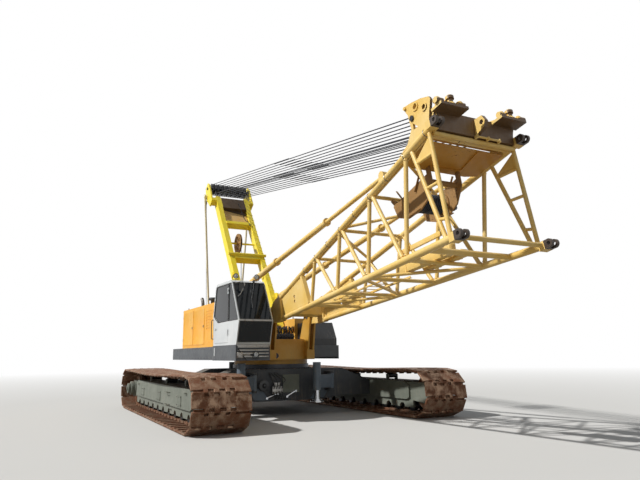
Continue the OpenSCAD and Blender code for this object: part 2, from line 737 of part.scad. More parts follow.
module a_frame() {
    color("gold") a_place() {
        both_sides() {
            block([-a_leg_depth / 2, a_leg_in, 260], [a_leg_depth / 2, a_leg_out, leg_end]);
            difference() {
                side_plate(a_leg_y - a_lug_half, a_leg_y + a_lug_half) {
                    circle(r = 130);
                    polygon([[-130, 0], [130, 0], [a_leg_depth / 2, 270], [-a_leg_depth / 2, 270]]);
                }
                cross_bar(0, 0, a_pin_r + 0.05, -big, big);
            }
            for (y = [a_leg_in - 30, a_leg_out - 1]) cross_bar(0, 2850, 120, y, y + 31);
            // Head plate outside the leg, with the head shaft's seat and the rear tie's lug
            difference() {
                side_plate(head_half, head_half + head_plate) {
                    polygon([[-200, leg_end - 300], [170, leg_end - 300], [210, a_length + 60],
                             [120, a_length + 240], [-230, a_length + 240], [-400, a_length - 60],
                             [-400, a_length - 330]]);
                }
                cross_bar(0, a_length, 60.05, -big, big);
            }
            block([-a_leg_depth / 2, a_leg_out - 1, leg_end - 280],
                  [a_leg_depth / 2, head_half + 1, leg_end - 120]);
        }
        block([-130, -a_leg_in - 1, low_beam_z - 90], [190, a_leg_in + 1, low_beam_z + 90]);
        block([-130, -a_leg_in - 1, mid_beam_z - 70], [190, a_leg_in + 1, mid_beam_z + 70]);
        block([-170, -a_leg_in - 1, leg_end - 700], [170, a_leg_in + 1, leg_end - 100]);
        block([-20, -a_leg_in - 1, mid_beam_z], [10, a_leg_in + 1, leg_end - 600]);
        cross_bar(200, low_beam_z + 95, 60, -a_leg_out - 60, a_leg_out + 60);
        cross_bar(-40, guide_z, 40, -a_leg_in - 1, a_leg_in + 1);
    }
    // Lug with the backstop's foot pin, beside the leg
    color("gold") both_sides() {
        side_plate(a_leg_out - 1, backstop_y - backstop_lug / 2 - 12) {
            translate([-backstop_x, backstop_z]) circle(r = 130);
            polygon([[-backstop_x - 60, backstop_z - 120], [-backstop_x + 20, backstop_z + 120],
                     [-backstop_x - 420, backstop_z + 160], [-backstop_x - 260, backstop_z - 160]]);
        }
        cross_bar(-backstop_x, backstop_z, 45, a_leg_out + 20, backstop_y + backstop_lug / 2 + 10);
    }
}

// A row of rope sheaves on a shaft, offset sideways from the middle of its places
sheave_step = 205;
sheave_width = 120;
// Sideways shift of the ropes that leave the A-frame against those that leave the cross-head
strand_shift = 18;
flange_r = sheave_rope_r + 30;
function sheave_y(i) = (i - (sheave_count - 1) / 2) * sheave_step;

module sheave_row(shift, shaft_r, shaft_half) {
    rotate([-90, 0, 0]) {
        for (i = [0:sheave_count - 1]) translate([0, 0, sheave_y(i) + shift])
            rotate_extrude() polygon([
                [shaft_r - 5, -sheave_width / 2], [flange_r, -sheave_width / 2],
                [flange_r, -sheave_width / 2 + 14], [sheave_rope_r - rope_r - SEAT, -rope_r - 26],
                [sheave_rope_r - rope_r - SEAT, rope_r + 26], [flange_r, sheave_width / 2 - 14],
                [flange_r, sheave_width / 2], [shaft_r - 5, sheave_width / 2]]);
        translate([0, 0, -shaft_half]) cylinder(r = shaft_r, h = 2 * shaft_half);
    }
}

module a_frame_sheaves() {
    color("dimgray") translate([-a_head_x, 0, a_head_z])
        sheave_row(-strand_shift, 60, head_half + head_plate + 30);
}

tie_x = 5300;
tie_z = 2560;
tie_top = [-a_head_x - 130, a_head_z - 330];
tie_y = head_half + head_plate + 75;
module rear_ties() {
    color("wheat") both_sides() {
        p = [-tie_x, a_leg_y, tie_z];
        q = [tie_top[0], tie_y, tie_top[1]];
        difference() {
            union() {
                side_plate(a_leg_y - a_lug_half, a_leg_y + a_lug_half)
                    translate([-tie_x, tie_z]) circle(r = 100);
                bar(p + [0, 0, 60], q, 42);
            }
            cross_bar(-tie_x, tie_z, tie_pin_r + 0.05, -big, big);
        }
        side_plate(tie_y - 74.7, tie_y + 35) translate(tie_top) circle(r = 90);
    }
}

module guide_sheave() {
    color("dimgray") a_place() translate([-40, guide_y, guide_z]) difference() {
        union() {
            cross_bar(0, 0, guide_r, -38, -20);
            cross_bar(0, 0, guide_r, 20, 38);
            cross_bar(0, 0, guide_r - 45, -24, 24);
            cross_bar(0, 0, 90, -80, 80);
        }
        for (a = [0:60:300]) rotate([0, a, 0]) cross_bar(guide_r * 0.55, 0, 85, -60, 60);
        cross_bar(0, 0, 40.05, -big, big);
    }
}

// Boom, drawn in its own frame: X runs along its axis from the foot pins, Z up
function half_w(u) = foot_half_width + (end_half_width - foot_half_width) * u / boom_length;
function half_h(u) = foot_half_depth + (end_half_depth - foot_half_depth) * u / boom_length;
function chord_at(u, side, level) = [u, side * half_w(u), level * half_h(u)];
plan_angle = atan2(end_half_width - foot_half_width, boom_length);
depth_angle = atan2(end_half_depth - foot_half_depth, boom_length);

module boom_place() {
    translate([foot_x, 0, foot_z]) rotate([0, -boom_angle, 0]) children();
}
// The plane of a side face: X along it, Y across it
module side_face() {
    translate([0, foot_half_width, 0]) rotate([0, 0, plan_angle]) children();
}

chord_start = 1004;
chord_end = boom_length - 250;
// Seat of the backstop's rod eye beside the top chord
eye_u = boom_length - 2250;
eye_v = 1200;
eye_r = 90;
eye_half = 60;

module boom_chords() {
    color("khaki") boom_place() {
        for (level = [-1, 1]) both_sides() difference() {
            union() {
                bar(chord_at(chord_start - 200, 1, level), chord_at(chord_end + 100, 1, level), chord_r);
                if (level > 0) side_plate(backstop_y + eye_half + SEAT, half_w(eye_u) - 40) {
                    translate([eye_u, eye_v]) circle(r = eye_r);
                    polygon([[eye_u - eye_r, eye_v], [eye_u + eye_r, eye_v],
                             [eye_u + 160, half_h(eye_u)], [eye_u - 160, half_h(eye_u)]]);
                }
            }
            block([0, 0, -big], [chord_start, big, big]);
            block([chord_end - SEAT, 0, -big], [big, big, big]);
        }
    }
}

web_end = 3050;
module boom_foot() {
    color("khaki") boom_place() {
        both_sides() {
            difference() {
                side_face() {
                    side_plate(-foot_lug_half, foot_lug_half) {
                        circle(r = 230);
                        polygon([[0, -230], [400, -half_h(400) - 30], [400, half_h(400) + 30], [0, 230]]);
                    }
                    side_plate(-80, 80) polygon([[330, -half_h(330) - 30], [560, -half_h(560) - 60],
                        [1010, -half_h(1010) - 76], [1010, half_h(1010) + 76],
                        [560, half_h(560) + 60], [330, half_h(330) + 30]]);
                }
                block([chord_start - SEAT, 0, -big], [big, big, big]);
                cross_bar(0, 0, foot_pin_r + 0.05, -big, big);
            }
            side_face() {
                side_plate(-20, 20) difference() {
                    polygon([[1000, -half_h(1000) + 77], [web_end, -half_h(web_end) + 77],
                             [web_end - 300, half_h(web_end - 300) - 77], [1000, half_h(1000) - 77]]);
                    for (v = [30, -110]) translate([2010, v]) circle(r = 55);
                }
                side_plate(-60, 60) polygon([
                    [web_end - 110, -half_h(web_end - 110) + 77], [web_end, -half_h(web_end) + 77],
                    [web_end - 300, half_h(web_end - 300) - 77], [web_end - 410, half_h(web_end - 410) - 77]]);
            }
        }
        block([640, -half_w(700) + 60, -180], [chord_start - 60, half_w(700) - 60, 180]);
    }
}

// Side lacing: places of the joints on the top and bottom chords
bay = boom_length / 6;
first_top = 3670;
first_bottom = 3080;
bottom_bay = bay - 25;
bay_count = 4;
joint_gap = 42;
function top_joint(i) = first_top + i * bay;
function bottom_joint(i) = first_bottom + i * bottom_bay;
ladder_top = [8640, 9290];
ladder_bottom = [9170, 9290];
rung_r = 34;

module side_tube(u_top, u_bottom, r) {
    difference() {
        bar(chord_at(u_bottom, 1, -1), chord_at(u_top, 1, 1), r);
        for (level = [-1, 1])
            bar(chord_at(0, 1, level), chord_at(boom_length, 1, level), chord_r + SEAT, 90);
    }
}
function on_leg(k, t) = chord_at(ladder_top[k], 1, 1) * (1 - t) + chord_at(ladder_bottom[k], 1, -1) * t;

module side_lacing() {
    color("khaki") boom_place() both_sides() {
        for (i = [0:bay_count - 1])
            side_tube(top_joint(i) - joint_gap, bottom_joint(i) + joint_gap, lacing_r);
        for (i = [0:bay_count - 2])
            side_tube(top_joint(i) + joint_gap + 20, bottom_joint(i + 1) - joint_gap - 20, lacing_r);
        for (k = [0, 1]) side_tube(ladder_top[k], ladder_bottom[k], lacing_r - 2);
        side_face() side_plate(-10, 10) polygon([for (c = [[1, 0.05], [1, 0.22], [0, 0.15]])
            let (p = on_leg(c[0], c[1])) [p[0], p[2]]]);
        for (t = [[0.17, 0.22], [0.457, 0.495], [0.79, 0.825]]) difference() {
            bar(on_leg(0, t[0]), on_leg(1, t[1]), rung_r);
            for (k = [0, 1]) bar(on_leg(k, 0), on_leg(k, 1), lacing_r - 2 + SEAT);
        }
    }
}

// Tubes across the top and bottom faces
face_r = 44;
diagonal_r = 38;
thick_r = 62;
end_tube_u = boom_length - 430;
thick_tube_u = boom_length - 1040;
diagonal_gap = 125;

module face_tube(p, q, r) {
    difference() {
        bar(p, q, r);
        for (side = [-1, 1], level = [-1, 1])
            bar(chord_at(0, side, level), chord_at(boom_length, side, level), chord_r + SEAT);
    }
}
module straight_tube(u, level, r) {
    face_tube(chord_at(u, -1, level), chord_at(u, 1, level), r);
}
// A diagonal from joint u0 to joint u1, starting on the given side
module slanted_tube(u0, u1, side, level) {
    face_tube(chord_at(u0 + diagonal_gap, side, level), chord_at(u1 - diagonal_gap, -side, level), diagonal_r);
}

module face_lacing() {
    color("khaki") boom_place() {
        for (i = [0:bay_count - 1]) {
            straight_tube(top_joint(i), 1, face_r);
            straight_tube(bottom_joint(i), -1, face_r);
        }
        straight_tube(end_tube_u, 1, 56);
        straight_tube(thick_tube_u, -1, thick_r);
        for (i = [0:bay_count - 2]) {
            slanted_tube(top_joint(i), top_joint(i + 1), i % 2 == 0 ? 1 : -1, 1);
            slanted_tube(bottom_joint(i), bottom_joint(i + 1), i % 2 == 0 ? -1 : 1, -1);
        }
        y = half_w(boom_length) - lug_half - SEAT;
        cross_bar(lug_block_u, -half_h(lug_block_u), 50, -y, y);
    }
}

// Fork lugs at the ends of the chords
lug_half = 105;
lug_slot = 45;
lug_block_u = boom_length - 175;
module boom_lug(level) {
    translate([boom_length, half_w(boom_length), level * half_h(boom_length)]) difference() {
        union() {
            side_plate(-lug_half, lug_half) {
                circle(r = lug_r);
                polygon([[-130, -lug_r + 4], [0, -lug_r], [0, lug_r], [-130, lug_r - 4]]);
            }
            block([chord_end - boom_length, -lug_half, -lug_r], [-100, lug_half, lug_r]);
        }
        side_plate(-lug_slot, lug_slot) {
            circle(r = lug_r + 12);
            translate([0, -big / 2]) square([big, big]);
        }
        cross_bar(0, 0, lug_bore_r, -big, big);
    }
}
module boom_lugs() {
    color("dimgray") boom_place() both_sides() {
        boom_lug(1);
        boom_lug(-1);
    }
}

// Plate under the top face at the outer end, over its full width, with a folded rib below
plate_thick = 14;
plate_drop = face_r + 0.6;
plate_length = 1400;
plate_rear = boom_length - plate_length;
module boom_top_plate() {
    u1 = end_tube_u - 62;
    reach = function(u) half_w(u * cos(depth_angle)) - sqrt(chord_r * chord_r - plate_drop * plate_drop) - 0.8;
    color("goldenrod") boom_place()
        translate([0, 0, foot_half_depth - plate_drop - plate_thick]) rotate([0, -depth_angle, 0]) {
            linear_extrude(plate_thick) polygon([[plate_rear + 80, -reach(plate_rear + 80)], [u1, -reach(u1)],
                [u1, reach(u1)], [plate_rear + 80, reach(plate_rear + 80)], [plate_rear, 700],
                [plate_rear, -700]]);
            translate([0, 0, -30]) linear_extrude(31) polygon([[u1, 330], [u1, 350], [plate_rear + 250, 430],
                [plate_rear + 190, 400], [plate_rear + 180, -400], [plate_rear + 200, -400],
                [plate_rear + 210, 390], [plate_rear + 255, 410]]);
        }
}

// Cross-head on the outer end, whose shaft is as far from the foot pins as the A-frame's head is
head_from_foot = norm([a_head_x + foot_x, a_head_z - foot_z]);
cross_v = 1660;
cross_u = sqrt(head_from_foot * head_from_foot - cross_v * cross_v);
cheek_y = 1050;
cheek_plate = 60;

shelf_v = 1500;
beam_in = 1000;

// One unit of the pin-pulling gear that stands on the shelf: a bell over a cone
module pin_gear() {
    cylinder(r1 = 105, r2 = 62, h = 70);
    cylinder(r = 55, h = 190);
    translate([0, 0, 150]) cylinder(r = 85, h = 60);
    translate([0, 0, 205]) cylinder(r1 = 85, r2 = 50, h = 35);
}

module cross_head() {
    color("khaki") boom_place() {
        both_sides() {
            difference() {
                union() {
                    side_plate(cheek_y, cheek_y + cheek_plate) difference() {
                        polygon([[8280, half_h(8280) + chord_r + 0.7], [9325, half_h(9325) + chord_r + 0.7],
                            [9345, 1300], [9518, 1722], [9480, 1800], [9230, 1920], [9140, 1945],
                            [cross_u + 40, 2010], [8740, 2050], [8680, 2020], [8782, 1810],
                            [8811, 1450], [8600, half_h(8600) + chord_r + 70]]);
                        polygon([[8880, 1400], [9020, 1400], [8880, 1560]]);
                        translate([9060, 1840]) circle(r = 60);
                        translate([9310, 1665]) circle(r = 52);
                    }
                    for (c = [[9060, 1840, 60], [9310, 1665, 52]]) difference() {
                        cross_bar(c[0], c[1], c[2] + 32, cheek_y - 15, cheek_y + cheek_plate + 22);
                        cross_bar(c[0], c[1], c[2], -big, big);
                    }
                    cross_bar(8740, 1995, 38, cheek_y - 40, cheek_y + cheek_plate + 35);
                }
                cross_bar(cross_u, cross_v, 60.05, -big, big);
            }
            block([9480, 430, shelf_v - 60], [9790, cheek_y + cheek_plate, shelf_v]);
            translate([9690, 780, shelf_v - 1]) pin_gear();
            for (y = [450, 990]) {
                cross_bar(9690, shelf_v + 62, 62, y, y + 170);
                block([9630, y + 50, shelf_v - 1], [9750, y + 120, shelf_v + 62]);
            }
        }
        side_plate(-cheek_y - 1, cheek_y + 1) polygon([[8830, 1270], [9320, 1270], [9400, 1300],
            [9500, shelf_v], [9230, shelf_v], [9190, 1340], [8830, 1340]]);
        side_plate(-beam_in, beam_in) polygon([[9250, 1100], [9430, 1100], [9500, shelf_v - 10],
            [9300, 1280], [9250, 1275]]);
        // Lug in the middle of the front
        side_plate(-45, 45) difference() {
            polygon([[9440, 1120], [9700, 1180], [9760, 1300], [9700, 1440], [9490, 1460]]);
            translate([9660, 1310]) circle(r = 50);
        }
    }
}
module cross_head_sheaves() {
    color("dimgray") boom_place() translate([cross_u, 0, cross_v])
        sheave_row(strand_shift, 60, cheek_y + cheek_plate + 30);
}

// Rope winch that hangs inside the boom under two tubes of the top face
winch_from_end = 2000;
winch_u = boom_length - winch_from_end;
winch_v = 480;
winch_half = 400;
module boom_winch() {
    color("sienna") boom_place() {
        for (s = [-1, 1]) side_plate(s * winch_half - 20, s * winch_half + 20) {
            translate([winch_u, 0]) polygon([[-700, 690], [730, 860], [730, 640], [480, 300], [200, 190],
                [-250, 190], [-600, 360]]);
            u = top_joint(2);
            v = half_h(u) - face_r - SEAT;
            polygon([[u - 45, v], [u + 45, v], [winch_u - 490, 700], [winch_u - 670, 700]]);
            polygon([for (c = [[615, 1], [730, 1], [730, 0], [615, 0]])
                [winch_u + c[0], c[1] * (half_h(winch_u + c[0]) - plate_drop - plate_thick - 2 * SEAT - 700) + 700]]);
        }
        cross_bar(winch_u, winch_v, 200, -winch_half + 19, winch_half - 19);
        for (y = [-winch_half + 20, winch_half - 50]) cross_bar(winch_u, winch_v, 275, y, y + 30);
        cross_bar(winch_u - 520, 600, 60, -winch_half, winch_half);
        cross_bar(winch_u + 580, 700, 60, -winch_half, winch_half);
        cross_bar(winch_u, winch_v, 150, winch_half, winch_half + 150);
    }
}

// Backstops: telescopic tubes from the A-frame's legs to the top chords
backstop_x = 1300;
backstop_z = 4100;
eye_x = foot_x + eye_u * cos(boom_angle) - eye_v * sin(boom_angle);
eye_z = foot_z + eye_u * sin(boom_angle) + eye_v * cos(boom_angle);
backstop_angle = atan2(eye_z - backstop_z, eye_x + backstop_x);
backstop_length = norm([eye_z - backstop_z, eye_x + backstop_x]);
rod_length = 3900;

module backstop_place() {
    translate([-backstop_x, 0, backstop_z]) rotate([0, -backstop_angle, 0]) both_sides() children();
}
module lengthwise(x0, x1, r) {
    translate([x0, backstop_y, 0]) rotate([0, 90, 0]) cylinder(r = r, h = x1 - x0);
}
module backstop_tubes() {
    color("khaki") backstop_place() difference() {
        union() {
            side_plate(backstop_y - backstop_lug / 2, backstop_y + backstop_lug / 2) {
                circle(r = 100);
                translate([0, -70]) square([260, 140]);
            }
            lengthwise(200, backstop_tube_length, backstop_tube_r);
            lengthwise(200, 3900, backstop_tube_r + 14);
            lengthwise(3840, 3920, backstop_tube_r + 40);
            lengthwise(backstop_tube_length - 60, backstop_tube_length, backstop_tube_r + 30);
        }
        cross_bar(0, 0, 45.05, -big, big);
        lengthwise(400, backstop_tube_length + 10, backstop_rod_r + 0.05);
    }
}
module backstop_rods() {
    color("khaki") backstop_place() {
        lengthwise(backstop_length - rod_length, backstop_length - 60, backstop_rod_r);
        side_plate(backstop_y - eye_half, backstop_y + eye_half) translate([backstop_length, 0])
            circle(r = eye_r);
    }
}

// Hoist ropes: one set leaves the A-frame's head, the other the cross-head, and they lie side by side
cross_x = foot_x + cross_u * cos(boom_angle) - cross_v * sin(boom_angle);
cross_z = foot_z + cross_u * sin(boom_angle) + cross_v * cos(boom_angle);
rope_angle = atan2(cross_z - a_head_z, cross_x + a_head_x);
rope_span = norm([cross_z - a_head_z, cross_x + a_head_x]);
rope_reach = 8300;

module rope_set(x0, x1, shift) {
    color("darkslategray") translate([-a_head_x, 0, a_head_z]) rotate([0, -rope_angle, 0])
        for (i = [0:sheave_count - 1], layer = [-1, 1])
            translate([x0, sheave_y(i) + shift, layer * sheave_rope_r]) rotate([0, 90, 0])
                cylinder(r = rope_r, h = x1 - x0, $fn = 16);
}
module ropes_upper() { rope_set(0, rope_reach, -strand_shift); }
module ropes_lower() { rope_set(rope_span - rope_reach, rope_span, strand_shift); }

car_body();
slew_ring();
track_frames();
track_right();
track_left();
end_wheels();
track_rollers();
jack_arm_front_right();
jack_arm_front_left();
jack_arm_rear_right();
jack_arm_rear_left();
jack_rod_front_right();
jack_rod_front_left();
jack_rod_rear_right();
jack_rod_rear_left();
main_frame();
side_decks();
engine_housing();
left_housing();
engine_block();
winch_frames();
hoist_drum_front();
hoist_drum_rear();
foot_pins();
cab_shell();
cab_glass();
cab_seat();
cab_door();
door_glass();
a_frame();
a_frame_sheaves();
rear_ties();
guide_sheave();
boom_foot();
boom_chords();
side_lacing();
face_lacing();
boom_lugs();
boom_top_plate();
cross_head();
cross_head_sheaves();
boom_winch();
backstop_tubes();
backstop_rods();
ropes_upper();
ropes_lower();
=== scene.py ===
# %% [markdown] # A crawler crane in Blender The machine stands in a yard on its two tracks, with only the
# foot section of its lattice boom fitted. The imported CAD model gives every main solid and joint.

# %% Load the frame
import math
import json
import bpy
import bmesh
from mathutils import Matrix, Vector

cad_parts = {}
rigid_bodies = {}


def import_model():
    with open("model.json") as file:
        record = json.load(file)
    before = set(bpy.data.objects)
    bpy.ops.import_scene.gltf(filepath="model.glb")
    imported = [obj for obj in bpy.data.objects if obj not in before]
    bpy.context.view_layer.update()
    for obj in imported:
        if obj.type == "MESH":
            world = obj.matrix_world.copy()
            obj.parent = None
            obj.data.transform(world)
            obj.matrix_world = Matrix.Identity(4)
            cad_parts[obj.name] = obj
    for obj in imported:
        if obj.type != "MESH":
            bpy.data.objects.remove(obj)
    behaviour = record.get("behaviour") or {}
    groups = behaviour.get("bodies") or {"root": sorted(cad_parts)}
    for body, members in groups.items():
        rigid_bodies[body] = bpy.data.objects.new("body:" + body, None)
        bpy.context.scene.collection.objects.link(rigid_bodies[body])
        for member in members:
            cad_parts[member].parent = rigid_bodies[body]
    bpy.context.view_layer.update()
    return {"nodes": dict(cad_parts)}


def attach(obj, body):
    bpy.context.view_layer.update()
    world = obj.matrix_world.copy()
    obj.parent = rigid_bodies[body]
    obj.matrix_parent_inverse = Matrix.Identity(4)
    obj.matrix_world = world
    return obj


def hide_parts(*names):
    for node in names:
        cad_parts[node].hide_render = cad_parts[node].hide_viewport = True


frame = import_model()
nodes = frame["nodes"]

# %% [markdown]
# The camera comes first, so that every later render can be set against the photograph. Its place, pitch, roll
# and focal length were found from straight edges of the machine: the tracks, the boom's chords and the legs.
# A camera's local axes point right, up and backwards, so its matrix is built from those three directions.

# %% Camera
EYE = Vector((18.86, -7.83, 1.90))
YAW, PITCH, ROLL = math.radians(27.5), math.radians(11.3), math.radians(-0.75)
FOCAL_PIXELS, PHOTO_WIDTH, SENSOR = 572.0, 640.0, 36.0

level_ahead = Vector((-math.cos(YAW), math.sin(YAW), 0))
level_right = Vector((math.sin(YAW), math.cos(YAW), 0))
zenith = Vector((0, 0, 1))
ahead = level_ahead * math.cos(PITCH) + zenith * math.sin(PITCH)
upward = zenith * math.cos(PITCH) - level_ahead * math.sin(PITCH)
right = level_right * math.cos(ROLL) + upward * math.sin(ROLL)
upward = upward * math.cos(ROLL) - level_right * math.sin(ROLL)

camera_data = bpy.data.cameras.new("photo_camera")
camera_data.sensor_width = SENSOR
camera_data.lens = FOCAL_PIXELS / PHOTO_WIDTH * SENSOR
camera_data.clip_end = 500
camera = bpy.data.objects.new("photo_camera", camera_data)
bpy.context.scene.collection.objects.link(camera)
camera.matrix_world = Matrix.Translation(EYE) @ Matrix((right, upward, -ahead)).transposed().to_4x4()
bpy.context.scene.camera = camera
print("lens", round(camera_data.lens, 2), "mm")

# %% [markdown]
# Colours are written as the hex values that a paint chart or a picture editor shows, which are sRGB.
# Blender's shaders work with linear light, so one function turns each value before a socket takes it.
# Small functions then add shader nodes with their settings and links, so that materials read like recipes.

# %% Colour and node helpers
def linear(hex_value):
    """An sRGB hex value such as 'C8A24A' as linear red, green, blue and an alpha of 1."""
    parts = [int(hex_value[i:i + 2], 16) / 255 for i in (0, 2, 4)]
    return [p / 12.92 if p <= 0.04045 else ((p + 0.055) / 1.055) ** 2.4 for p in parts] + [1]


def grey(value):
    return (value, value, value, 1)


def plug(tree, socket, value):
    """Links another node's output to a socket, or sets the socket where the value is a plain one."""
    if isinstance(value, bpy.types.NodeSocket):
        tree.links.new(value, socket)
    else:
        socket.default_value = value


def add(tree, kind, sockets, **settings):
    """A new shader node: sockets gives values or links by name or number, settings gives properties."""
    node = tree.nodes.new("ShaderNode" + kind)
    for name, value in settings.items():
        setattr(node, name, value)
    for name, value in sockets.items():
        plug(tree, node.inputs[name], value)
    return node


def new_material(name):
    """A material with a Principled shader at its output, and the object coordinates for its patterns."""
    material = bpy.data.materials.new(name)
    material.use_nodes = True
    tree = material.node_tree
    tree.nodes.clear()
    shader = add(tree, "BsdfPrincipled", {})
    add(tree, "OutputMaterial", {"Surface": shader.outputs["BSDF"]})
    return material, tree, shader, add(tree, "TexCoord", {}).outputs["Object"]


def dress(tree, shader, **values):
    """Sets or links the Principled shader's sockets, named with a _ for each space."""
    for name, value in values.items():
        plug(tree, shader.inputs[name.replace("_", " ")], value)


def emboss(tree, shader, height, strength, depth):
    """A pattern's height as a bump of that depth in metres."""
    bump = add(tree, "Bump", {"Height": height, "Strength": strength, "Distance": depth})
    dress(tree, shader, Normal=bump.outputs["Normal"])


def noise(tree, place, scale, detail, rough=0.5, twist=0.0):
    """Noise with so many features to a metre."""
    return add(tree, "TexNoise", {"Vector": place, "Scale": scale, "Detail": detail, "Roughness": rough,
                                  "Distortion": twist}).outputs["Fac"]


def ramp(tree, factor, low, high):
    """Fades between two stops, each a (position, brightness)."""
    node = add(tree, "ValToRGB", {"Fac": factor})
    for element, (position, brightness) in zip(node.color_ramp.elements, (low, high)):
        element.position = position
        element.color = grey(brightness)
    return node.outputs["Color"]


def maths(tree, operation, *values):
    return add(tree, "Math", dict(enumerate(values)), operation=operation).outputs[0]


def mix(tree, factor, low, high):
    """Two colours mixed by a factor: each may be a socket or a fixed colour."""
    return add(tree, "Mix", {0: factor, 6: low, 7: high}, data_type="RGBA").outputs[2]


# %% [markdown]
# The enamel on an old machine is not one colour. The sun fades it in broad patches, dust gathers on faces
# that look up, dirty water leaves streaks that run down the sides, and chips show rust where chains and
# slings knock it. Each of those is a pattern with a real size: patches about 0.7 m across, streaks 50 mm wide,
# chips 10 to 40 mm across. Streaks only show where a patch has gathered dirt, because evenly spread streaks
# look like planks. Some pieces change colour past a plane: a zone gives the side of a plane that has another colour,
# and which way its faces look. On the cross-head that colour is partly rust and partly painted shade, and on the
# left housing's front end it is painted shade.

# %% Weathered enamel
PATCH_PER_METRE, STREAK_PER_METRE, STREAK_DRAWN_OUT, CHIP_PER_METRE = 1.4, 19.0, 1.3, 26.0


def zone_mask(tree, place, zone):
    """1 past the plane that the zone's first two values give, on faces turned along its third, else 0."""
    normal = add(tree, "NewGeometry", {}).outputs["Normal"]
    tests = []
    for source, direction, limit in ((place, zone[0], zone[1]), (normal, zone[2], zone[3])):
        along = add(tree, "VectorMath", {0: source, 1: direction}, operation="DOT_PRODUCT")
        tests.append(maths(tree, "GREATER_THAN", along.outputs["Value"], limit))
    return maths(tree, "MULTIPLY", *tests)


def enamel(name, paint, faded, dust="8F8271", rust="5B3A22", chips=0.30, dirt=0.35, rough=0.42,
           zone=None, past="24262A", streaky=1.0):
    """Sprayed machine enamel, weathered: chips, dirt and streaky run from 0, none, to 1, much."""
    material, tree, shader, place = new_material(name)
    patches = noise(tree, place, PATCH_PER_METRE, 5.0, 0.6)
    colour = mix(tree, ramp(tree, patches, (0.38, 0), (0.66, 1)), linear(paint), linear(faded))
    if zone:
        colour = mix(tree, zone_mask(tree, place, zone), colour, linear(past))
    # Streaks are noise drawn out along Z
    drawn_out = add(tree, "Mapping", {"Vector": place,
                                      "Scale": (STREAK_PER_METRE, STREAK_PER_METRE, STREAK_DRAWN_OUT)})
    streaks = noise(tree, drawn_out.outputs["Vector"], 1.0, 6.0, 0.65, 0.4)
    run_down = maths(tree, "MULTIPLY", ramp(tree, streaks, (0.5, 0), (0.8, dirt * streaky)),
                     ramp(tree, patches, (0.46, 0.12), (0.64, 1)))
    colour = mix(tree, run_down, colour, linear(dust))
    # Dust lies on faces that look up
    normal = add(tree, "NewGeometry", {}).outputs["Normal"]
    height = add(tree, "SeparateXYZ", {"Vector": normal}).outputs["Z"]
    grain = noise(tree, place, 9.0, 8.0, 0.7)
    lying = maths(tree, "MULTIPLY", ramp(tree, height, (0.6, 0), (0.98, dirt * 1.1)), grain)
    colour = mix(tree, lying, colour, linear(dust))
    # Chips through to rust, thicker where the patches are
    where = maths(tree, "MULTIPLY", noise(tree, place, CHIP_PER_METRE, 7.0, 0.72), patches)
    edge = 0.46 - 0.10 * chips
    chip_mask = ramp(tree, where, (edge, 0), (edge + 0.012, 1))
    gloss = ramp(tree, grain, (0.3, rough - 0.06), (0.7, rough + 0.16))
    dress(tree, shader, Base_Color=mix(tree, chip_mask, colour, linear(rust)),
          Roughness=mix(tree, chip_mask, gloss, grey(0.85)))
    emboss(tree, shader, mix(tree, chip_mask, grain, grey(0.2)), 0.12, 0.004)
    return material


BOOM_TILT = math.radians(11.8)
BOOM_AXIS = Vector((math.cos(BOOM_TILT), 0, math.sin(BOOM_TILT)))
BOOM_UP = Vector((-math.sin(BOOM_TILT), 0, math.cos(BOOM_TILT)))
FOOT_PIN = Vector((1.7, 0, 3.12))
LUG_FROM, HEAD_FROM, SHADED_FRONT_FROM = BOOM_AXIS.dot(FOOT_PIN) + 9.49, BOOM_AXIS.dot(FOOT_PIN) + 9.26, 0.315
ANY_FACE = ((0, 0, 0), -1)
CREAM = ("E2BB62", "EACB84")

lemon = enamel("mast_enamel_lemon", "F4DA22", "F3DF4E", dirt=0.22, chips=0.2)
cream = enamel("boom_enamel_golden_cream", *CREAM, dirt=0.32, chips=0.5, rust="6B4424", streaky=0.35)
pale_cream = enamel("tie_enamel_pale_cream", "DCD1AC", "E4DCC2", dirt=0.25, chips=0.4)
lug_cream = enamel("boom_lug_enamel", *CREAM, dirt=0.34, chips=0.6, rust="5A3A24",
                   zone=(BOOM_AXIS, LUG_FROM, *ANY_FACE), past="3A2E25")
# On the cross-head's outer end the faces that look forward and down are dark brown: partly rust, partly painted shade.
head_cream = enamel("cross_head_enamel_rust_and_painted_shade", *CREAM, dirt=0.34, chips=0.6, rust="5A3A24",
                    zone=(BOOM_AXIS, HEAD_FROM, BOOM_AXIS - BOOM_UP, 0.35), past="5A4020")
orange = enamel("housing_enamel_orange", "EAA21A", "EDB136", dirt=0.3, chips=0.2)
# The left housing's front end, past a plane across X, is near-black: painted shade.
left_orange = enamel("left_housing_enamel_painted_shade_front", "E3A840", "E6B55C", dirt=0.4, chips=0.3,
                     zone=((1, 0, 0), SHADED_FRONT_FROM, *ANY_FACE), past="17191C")
ochre = enamel("block_enamel_ochre", "C08E2E", "CDA24E", dirt=0.45, chips=0.5)
